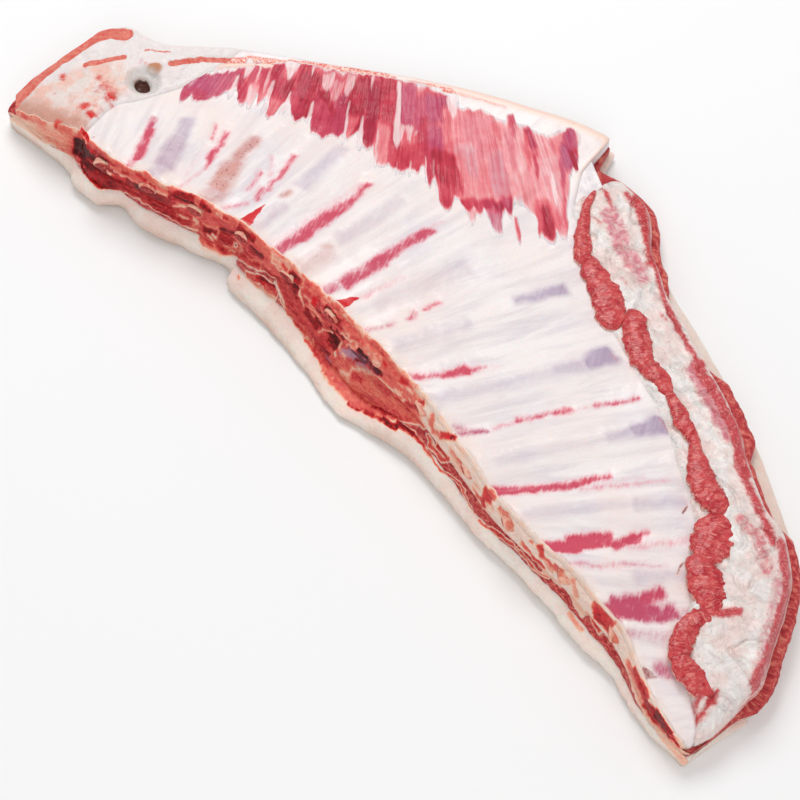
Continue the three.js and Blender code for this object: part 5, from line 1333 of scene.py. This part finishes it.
near_rib, far_rib = rib[:, :1], rib[:, -1:]
drop = np.linspace(1, 0, 12)[None, :-1]
spread = sawn_spread(near_rib)
length = sawn_length(near_rib)
floor_here = panel_floor(near_rib, 0)
wall_z = between(height[:, :1], floor_here - 0.3, drop)
wall_reach = between(0, 0.22 * spread + 0.4, np.sin(np.pi / 2 * drop))
wall_tone, wall_blood, _, relief = sawn_face(near_rib, wall_reach, wall_z)
top_tone, top_blood, _, _ = sawn_face(rib, -from_edge, np.minimum(height, sawn_height(rib) + 0.5))
bumpy = 1.6 * (hills(length / 5, wall_z / 3, 43) - 0.5) + relief
wall_reach = wall_reach + bumpy * np.sin(np.pi * drop) * away_from_tips(near_rib)
wall_x, wall_y = sawn_point(near_rib, wall_reach)
near_wall = np.stack([wall_x, wall_y, wall_z], -1)
drop = np.linspace(0, 1, 8)[None, 1:-1]
end_z = between(height[:, -1:], panel_floor(far_rib, 1), drop)
far_wall = np.stack([x[:, -1:] + 0 * end_z, y[:, -1:] + 0 * end_z, end_z], -1)
low_share = np.linspace(1, 0, 12)[None, 1:-1]
low_rib = between(BRISKET_FIRST, brisket_end(low_share) + 0.05, step)
low_x, low_y = across(low_rib, low_share, 0.22 * sawn_spread(low_rib) - 0.5)
lower = np.stack([low_x, low_y, panel_floor(low_rib, low_share)], -1)
rings = np.concatenate([near_wall, top, far_wall, lower], 1)
walls = near_wall.shape[1]
rest = far_wall.shape[1] + lower.shape[1]
tan = (1 - smooth(from_edge, 3, 16)) * (1 - smooth(rib, 0.1, 0.35))
white = smooth(share, 0.6, 0.75) * (1 - blob) + smooth(step, 0.8, 0.95) * (1 - smooth(share, 0.7, 0.9))
brisket_lump = skin("brisket_lump", rings, {
    "way": grain_way(length, rings),
    "marrow": on_ring(0, marrow), "sliver": on_ring(0, sliver), "hole": on_ring(0, hole),
    "hollow": on_ring(0, hollow), "blob": on_ring(0, blob), "tan": on_ring(1, tan),
    "white": on_ring(0, np.clip(white, 0, 1)), "tone": on_ring(wall_tone, top_tone, 1),
    "blood": on_ring(wall_blood, top_blood), "violet": on_ring(0, 0 * x),
}, lump_material, ["brisket_end"])


# Flank
# The soft white pad past the skirt, thin at the sixth rib and thick at the flank tip, with strips of muscle
# towards its outer edge. A skin of rings, as the chest wall.

FLANK_FIRST = 6.25
# Strips of thin muscle in it: places along each, half width in mm, strength, purple
MEAT = [
    [[(6.38, 0.97), (6.7, 0.985), (7.2, 0.985), (7.6, 0.97), (8.0, 0.965), (8.4, 0.965)], 1.6, 1.0, 0.1],
    [[(6.45, 0.99), (6.8, 0.99), (7.1, 0.985)], 3.2, 1.0, 0.0],
    [[(6.45, 0.88), (6.85, 0.9), (7.2, 0.93)], 4.6, 0.7, 0.9],
    [[(8.45, 0.96), (8.8, 0.96), (9.4, 0.97), (9.9, 0.96)], 3.4, 1.0, 0.1],
    [[(8.5, 0.93), (9.0, 0.93), (9.5, 0.94)], 3.0, 0.8, 0.8],
    [[(9.9, 0.95), (10.4, 0.94), (10.6, 0.93)], 2.2, 0.9, 0.1],
    [[(10.35, 0.86), (10.6, 0.88), (10.9, 0.88)], 3.6, 0.6, 0.5],
    [[(10.6, 0.97), (11.2, 0.985), (12, 0.985), (13, 0.985)], 2.6, 0.9, 0.2],
    [[(11.0, 0.95), (11.8, 0.95), (12.6, 0.95)], 3.2, 0.55, 0.9],
    [[(7.12, 0.86), (7.2, 0.87)], 1.0, 0.8, 0.2], [[(7.72, 0.935), (7.8, 0.94)], 1.0, 0.7, 0.0],
    [[(9.95, 0.84), (10.05, 0.84)], 0.9, 0.6, 0.0], [[(10.72, 0.82), (10.78, 0.82)], 0.8, 0.6, 0.6],
    [[(6.28, 0.93), (6.42, 0.9)], 1.2, 0.9, 0.0], [[(6.26, 0.85), (6.4, 0.83), (6.5, 0.84)], 1.4, 0.7, 0.0],
    [[(13.12, 0.62), (13.4, 0.5), (13.5, 0.34)], 1.8, 0.9, 0.0],
    [[(13.05, 0.5), (13.3, 0.36)], 2.0, 0.9, 0.2], [[(11.66, 0.62), (11.62, 0.75)], 2.2, 0.9, 0.1],
]
FLANK_WHITE = ink(250, 242, 238)
FLANK_CREAM = ink(248, 224, 218)
MEAT_RED = ink(208, 62, 68)
MEAT_PURPLE = ink(226, 138, 152)
MEAT_LIGHT = ink(248, 176, 168)

flank = Flesh("flank_fat_soft", depth=2.0, soak=0.1, coat=0.3)
mist = flank.place.clouds(0.09, 4)
speck = flank.place.clouds(0.8, 4, 0.65)
creases = flank.place.clouds(0.22, 5, 0.6, 1.5)
colour = mist.rise(0.42, 0.62).tint(FLANK_WHITE, FLANK_CREAM)
colour = colour.into(FLANK_CREAM, creases.rise(0.55, 0.7) * 0.6)
meat = flank.mark("purple").tint(MEAT_RED, MEAT_PURPLE)
meat = meat.into(MEAT_LIGHT, speck.rise(0.5, 0.68) * 0.7)
colour = colour.into(FLANK_CREAM, flank.mark("meat").rise(0.05, 0.4))
colour = colour.into(meat, (flank.mark("meat") + (creases - 0.5) * 1.2 + (speck - 0.5) * 0.6).rise(0.3, 0.85))
colour = colour.into(CORAL, (flank.mark("wall") + (speck - 0.5)).rise(0.5, 0.9) * 0.8)
flank_material = flank.end(colour, 0.28 + mist * 0.25, speck * 0.6 + creases * 2.2, 0.9)

COLUMNS = 112
place = along_slab(FLANK_FIRST, TOP_LAST, 330)
column = np.linspace(0, 1, COLUMNS)[None, :]
share = between(panel_end(place) - 0.015, 1, column)
rib = place + 0 * share
x, y = across(rib, share)
from_edge = np.hypot(x - x[:, :1], y - y[:, :1])
to_end = np.hypot(x - x[:, -1:], y - y[:, -1:])
grown = smooth(place, 8.5, 11.5) * (1 - smooth(place, 13, 13.7))
raised = between(1.5, 5, grown) * np.sqrt(np.clip(1 - (2 * column - 1) ** 4, 0, 1))
meat, tone = 0 * x, 0 * x
for line, half, strength, purple_here in MEAT:
    wide = half * (0.6 + 0.8 * hills(x / 5, y / 5, 51))
    here = strength * (1 - smooth(distance_to(x, y, line), wide - 2.4, wide + 2.4))
    tone = np.where(here > meat, purple_here, tone)
    meat = np.maximum(meat, here)
pads = (hills(x / 16, y / 11, 52, 2) - 0.5) * 3.2 + (hills(x / 5, y / 3.6, 53, 2) - 0.5) * 1.1
folds = 1.4 * smooth(np.abs(hills(x / 14, y / 14, 54, 2) - 0.5), 0, 0.05) - 1.4
inside = smooth(from_edge, 0, 4) * (1 - smooth(rib, 13.4, 13.85))
droop = 2.2 * (1 - np.sqrt(1 - (1 - smooth(to_end, 0, 3)) ** 2)) + 0.6 * (1 - smooth(from_edge, 0, 2))
height = base_top(rib, share) + raised - droop + (pads + folds) * inside * (0.5 + 0.5 * smooth(to_end, 0, 6))
height = height + 0.7 * meat * (hills(x / 2, y / 2, 55) + 0.3)
top = np.stack([x, y, height], -1)
far_rib = rib[:, -1:]
drop = np.linspace(0, 1, 10)[None, 1:-1]
end_z = between(height[:, -1:], panel_floor(far_rib, 1), drop)
bulged = np.sin(np.pi * drop) * 1.2 * hills(sawn_length(far_rib) / 6, end_z / 4, 56)
end_x, end_y = outer_point(far_rib, top_inset(far_rib) - bulged)
far_wall = np.stack([end_x, end_y, end_z], -1)
low_column = np.linspace(1, 0, 10)[None, :]
low_share = between(panel_end(place) - 0.015, 1, low_column)
low_x, low_y = across(place + 0 * low_share, low_share)
lower = np.stack([low_x, low_y, panel_floor(place, low_share)], -1)
drop = np.linspace(1, 0, 6)[None, 1:-1]
start_z = between(height[:, :1], panel_floor(place, share[:, :1]), drop)
near_wall = np.stack([x[:, :1] + 0 * start_z, y[:, :1] + 0 * start_z, start_z], -1)
rings = np.concatenate([near_wall, top, far_wall, lower], 1)
walls = near_wall.shape[1]
rest = far_wall.shape[1] + lower.shape[1]
flank_pad = skin("flank_pad", blunt(rings, place, FLANK_FIRST, TOP_LAST, 0.06), {
    "meat": on_ring(0, meat), "purple": on_ring(0, tone), "wall": on_ring(0, 0 * x, 0.75),
}, flank_material, ["flank_fat"])


# Skirt
# The cut edge of the skirt muscle: a frilled, coarse red ribbon on the seam between chest wall and flank. It
# is made of lobes that overlap as its folds do, each a rod along a curve with a lumpy oval section.

SKIRT_THICKNESS = 5.4
SKIRT_SUNK = 1.5
# From this lobe on they lie on the thick part of the flank, and are wider
FIRST_RAISED = 4
RAISED_BY = 2.2
# Each lobe: places along its middle as [x, y, width]
LOBES = [
    [[5, 78, 4], [9, 68, 5], [16, 58, 7], [22, 51, 9], [28, 45, 10], [33, 43, 7]],
    [[29, 48, 6], [35, 43, 12], [42, 40, 13], [50, 36, 15], [57, 31, 17], [63, 27, 14], [67, 25, 8]],
    [
        [63, 38, 7], [68, 35, 12], [74, 30, 14], [80, 25, 13], [86, 21, 12], [92, 19, 11], [99, 18, 10],
        [106, 15, 8], [110, 13, 5],
    ],
    [[106, 15, 5], [112, 12, 5], [118, 9, 7], [124, 6, 7], [130, 4, 5], [134, 2, 4]],
    [[130, 5, 4], [135, 0, 6], [141, -5, 9], [147, -10, 11], [153, -13, 11], [159, -14, 10], [165, -16, 6]],
    [[161, -17, 7], [165, -22, 14], [169, -28, 17], [172, -34, 14], [174, -39, 10]],
    [[171, -36, 8], [174, -41, 12], [180, -45, 13], [186, -49, 13], [191, -51, 10], [197, -49, 5]],
    [[192, -51, 6], [190, -56, 9], [189, -62, 8], [190, -69, 9], [193, -75, 9], [198, -79, 8]],
    [[193, -76, 6], [199, -79, 9], [206, -80, 10], [212, -80, 7], [215, -81, 4]],
]
SKIRT_RED = ink(218, 76, 78)
SKIRT_DEEP = ink(190, 34, 50)
SKIRT_FOLD_SHADE = ink(138, 8, 24)
SKIRT_LIGHT = ink(244, 150, 140)
SKIRT_EDGE = ink(253, 212, 196)

skirt = Flesh("skirt_red_coarse", depth=1.2, soak=0.1, coat=0.35)
way = skirt.mark("way", 1)
grains = way.stretched(0.7, 0.3, 0.7).clouds(1, 5, 0.65, 1.2)
blush = skirt.place.clouds(0.2, 4, 0.6, 0.8)
colour = blush.rise(0.36, 0.62).tint(SKIRT_DEEP, SKIRT_RED)
colour = colour.into(SKIRT_LIGHT, grains.rise(0.46, 0.68) * 0.8)
# Painted shade: near black red along the clefts between folds and at the lobe ends, where lobes tuck under
# each other
colour = colour.into(SKIRT_FOLD_SHADE, (skirt.mark("cleft") + (grains - 0.5) * 1.4).rise(0.4, 1.0) * 0.85)
colour = colour.into(SKIRT_EDGE, (skirt.mark("rim") + (grains - 0.5) * 1.3).rise(0.35, 0.75))
skirt_material = skirt.end(colour, 0.22 + grains * 0.3, grains * 1.4 + blush * 0.8, 0.7)

net_rib, net_share = np.meshgrid(np.arange(5.9, 14, 0.02), np.arange(0.1, 1.05, 0.01), indexing="ij")
net_x, net_y = across(net_rib, net_share)
for number, lobe in enumerate(LOBES, 1):
    knots = np.array(lobe, float)
    away = np.hypot(net_x.reshape(-1, 1) - knots[:, 0], net_y.reshape(-1, 1) - knots[:, 1])
    nearest = np.argmin(away, 0)
    level = base_top(net_rib.ravel()[nearest], net_share.ravel()[nearest])
    line = bend(np.column_stack([knots, level])[None], 90)[0]
    step = np.linspace(0, 1, 90)[:, None]
    raised_lobe = number >= FIRST_RAISED
    wider = 1.1 if raised_lobe else 0.86
    middle, wide, level = line[:, None, :2], wider * line[:, None, 2], line[:, None, 3]
    along = np.gradient(line[:, :2], axis=0)
    along = along / np.linalg.norm(along, axis=1, keepdims=True)
    side = np.stack([-along[:, 1], along[:, 0]], -1)[:, None]
    travel = np.concatenate([[0], np.cumsum(np.hypot(*np.diff(line[:, :2], axis=0).T))])[:, None]
    rounded = np.sqrt(np.clip(1 - (2 * step - 1) ** 6, 0, 1)) * 0.92 + 0.08
    turn = np.linspace(0, 2 * np.pi, 48, endpoint=False)[None]
    c, d = np.cos(turn), np.sin(turn)
    frill = 1 + 0.6 * (hills(travel / 3.6 + 9 * number, 1.6 * c + 3, 61) - 0.5)
    frill = frill + 0.24 * (hills(travel / 1.3 + number, 3 * turn, 62) - 0.5)
    out = np.sign(c) * np.abs(c) ** 0.8 * wide / 2 * rounded * frill
    tall = (SKIRT_THICKNESS / 2) * np.minimum(1, 0.45 + wide / 18) * rounded
    bumps = 0.9 * (hills(travel / 2.6, out / 2.2 + 5 * number, 63) - 0.5)
    up = np.sign(d) * np.abs(d) ** 0.75 * tall + bumps * np.clip(d, 0, 1)
    lift = 0.4 * (number % 2) + (RAISED_BY if raised_lobe else 0)
    centre = level - SKIRT_SUNK + SKIRT_THICKNESS / 2 - 0.6 + lift
    rings = np.concatenate([middle + side * out[..., None], (centre + up)[..., None]], -1)
    # The mark for painted shade: clefts between folds, and the two ends of each lobe
    cleft = 1 - smooth(np.abs(hills(travel / 6 + number, out / 9, 64, 2) - 0.5), 0, 0.05)
    ends = 1 - smooth(step, 0, 0.08) + smooth(step, 0.92, 1)
    piece = skin(f"skirt_edge_{number}", rings, {
        "way": np.stack([travel + 0 * out, out, up], -1),
        "cleft": np.clip(0.7 * cleft + 0.5 * ends, 0, 1),
        "rim": (1 - smooth(d, 0.05, 0.5)) * (0.8 + 0.2 * c),
    }, skirt_material, ["skirt_muscle"])


# Rib bones
# Flat oval bones under the membrane. Only their sawn ends show, as ovals of red marrow with a pale rim, so
# each is a rod along its rib with a domed end that stands a little out of the sawn face.

RIB_WIDTH = 10
RIB_THICKNESS = 5.6
RIB_DEPTH = 4.9
RIB_NARROWING = 0.78
# How wide the first rings are, from the middle of the sawn end to where its dome is full
DOME = np.array([0.12, 0.4, 0.65, 0.82, 0.92, 0.97, 1, 1])
# From this rib on the marrow fills less of the end
SMALL_MARROW = 7
BONE_RIM = ink(246, 190, 166)
BONE_SHADE = ink(226, 120, 98)
MARROW_RED = ink(176, 18, 34)

bone = Flesh("bone_sawn_pink", depth=1.0, soak=0.15, coat=0.4)
pores = bone.place.clouds(0.9, 4, 0.7)
mist = bone.place.clouds(0.25, 3)
colour = mist.rise(0.4, 0.6).tint(BONE_RIM, BONE_SHADE)
marrow = pores.ramp((0.36, BLOOD_DARK), (0.52, MARROW_RED), (0.66, BONE_SHADE))
colour = colour.into(marrow, (bone.mark("core") + (pores - 0.5) * 0.7).rise(0.3, 0.65))
bone_material = bone.end(colour, 0.3 + pores * 0.3, pores, 0.6)

for number in range(1, RIB_COUNT + 1):
    last = rib_end(number)
    step = np.concatenate([np.linspace(0, 0.02, len(DOME)), np.linspace(0.05, 1, 26)])[:, None]
    share = last * step
    cx, cy = across(number + 0 * share, share)
    along = np.array([cx[-1, 0] - cx[0, 0], cy[-1, 0] - cy[0, 0]])
    along = along / np.linalg.norm(along)
    push = (0.1 * sawn_spread(number) + 2.4) * (1 - smooth(step, 0, 0.3))
    grow = np.ones(len(step))
    grow[:len(DOME)] = DOME
    rise_in = np.zeros(len(step))
    rise_in[:len(DOME)] = 1.2 * (1 - np.sqrt(np.clip(1 - DOME**4, 0, 1)))
    narrow = between(1, RIB_NARROWING, step) * np.where(step > 0.97, 0.6, 1) * grow[:, None]
    turn = np.linspace(0, 2 * np.pi, 40, endpoint=False)[None]
    lumpy = 1 + 0.14 * (hills(turn * 1.3 + 7 * number, 0 * turn, 71) - 0.5)
    out = RIB_WIDTH / 2 * narrow * np.cos(turn) * lumpy
    up = RIB_THICKNESS / 2 * narrow * np.sin(turn) * lumpy
    back_off = rise_in[:, None] - push
    x = cx + along[0] * back_off - along[1] * out
    y = cy + along[1] * back_off + along[0] * out
    z = base_top(number, share) - RIB_DEPTH + 0.6 * (1 - smooth(step, 0, 0.3)) + up
    core_size = 0.86 if number < SMALL_MARROW else 0.5
    core = (1 - smooth(grow[:, None], core_size - 0.2, core_size + 0.08)) * (step < 0.03)
    points = np.stack([x, y, z], -1)
    rod = skin(f"bone_end_{number:02d}", points, {"core": core}, bone_material, [f"rib_{number:02d}"])


# Camera, light and floor
# The photo looks down on the slab from the near side, at 55 degrees above the horizon, through a long lens.

TARGET = np.array([0.0285, -0.070614, 0.015])
ELEVATION = np.radians(55)
AZIMUTH = np.radians(46)
DISTANCE = 0.95556
back = np.array([
    np.sin(AZIMUTH) * np.cos(ELEVATION), -np.cos(AZIMUTH) * np.cos(ELEVATION), np.sin(ELEVATION),
])
lens = bpy.data.cameras.new("camera")
lens.lens = 100
lens.sensor_width = 36
camera = bpy.data.objects.new("camera", lens)
camera.location = TARGET + back * DISTANCE
camera.rotation_euler = (np.pi / 2 - ELEVATION, 0, AZIMUTH)
bpy.context.scene.collection.objects.link(camera)
bpy.context.scene.camera = camera

world = bpy.data.worlds.new("studio")
bpy.context.scene.world = world
world.use_nodes = True
sky = world.node_tree.nodes["Background"].inputs
sky["Color"].default_value = (1, 1, 1, 1)
sky["Strength"].default_value = 0.55
for name, place, size, power in [
    ("key", (-0.7, 0.5, 1.3), 0.9, 11.5),
    ("fill", (0.9, -0.9, 1.0), 1.1, 5.5),
]:
    light = bpy.data.lights.new(name, "AREA")
    light.shape = "DISK"
    light.size = size
    light.energy = power
    lamp = bpy.data.objects.new(name, light)
    lamp.location = place
    away = np.array(place)
    lamp.rotation_euler = (np.arctan2(np.hypot(*away[:2]), away[2]), 0, np.arctan2(away[0], -away[1]))
    bpy.context.scene.collection.objects.link(lamp)

floor_mesh = bpy.data.meshes.new("floor")
floor_mesh.from_pydata([(-4, -4, 0), (4, -4, 0), (4, 4, 0), (-4, 4, 0)], [], [(0, 1, 2, 3)])
floor_paint = bpy.data.materials.new("floor")
floor_paint.use_nodes = True
floor_sockets = floor_paint.node_tree.nodes["Principled BSDF"].inputs
floor_sockets["Base Color"].default_value = (0.93, 0.93, 0.93, 1)
floor_sockets["Roughness"].default_value = 0.9
floor_mesh.materials.append(floor_paint)
floor = bpy.data.objects.new("floor", floor_mesh)
bpy.context.scene.collection.objects.link(floor)
bpy.context.scene.view_settings.view_transform = "Standard"
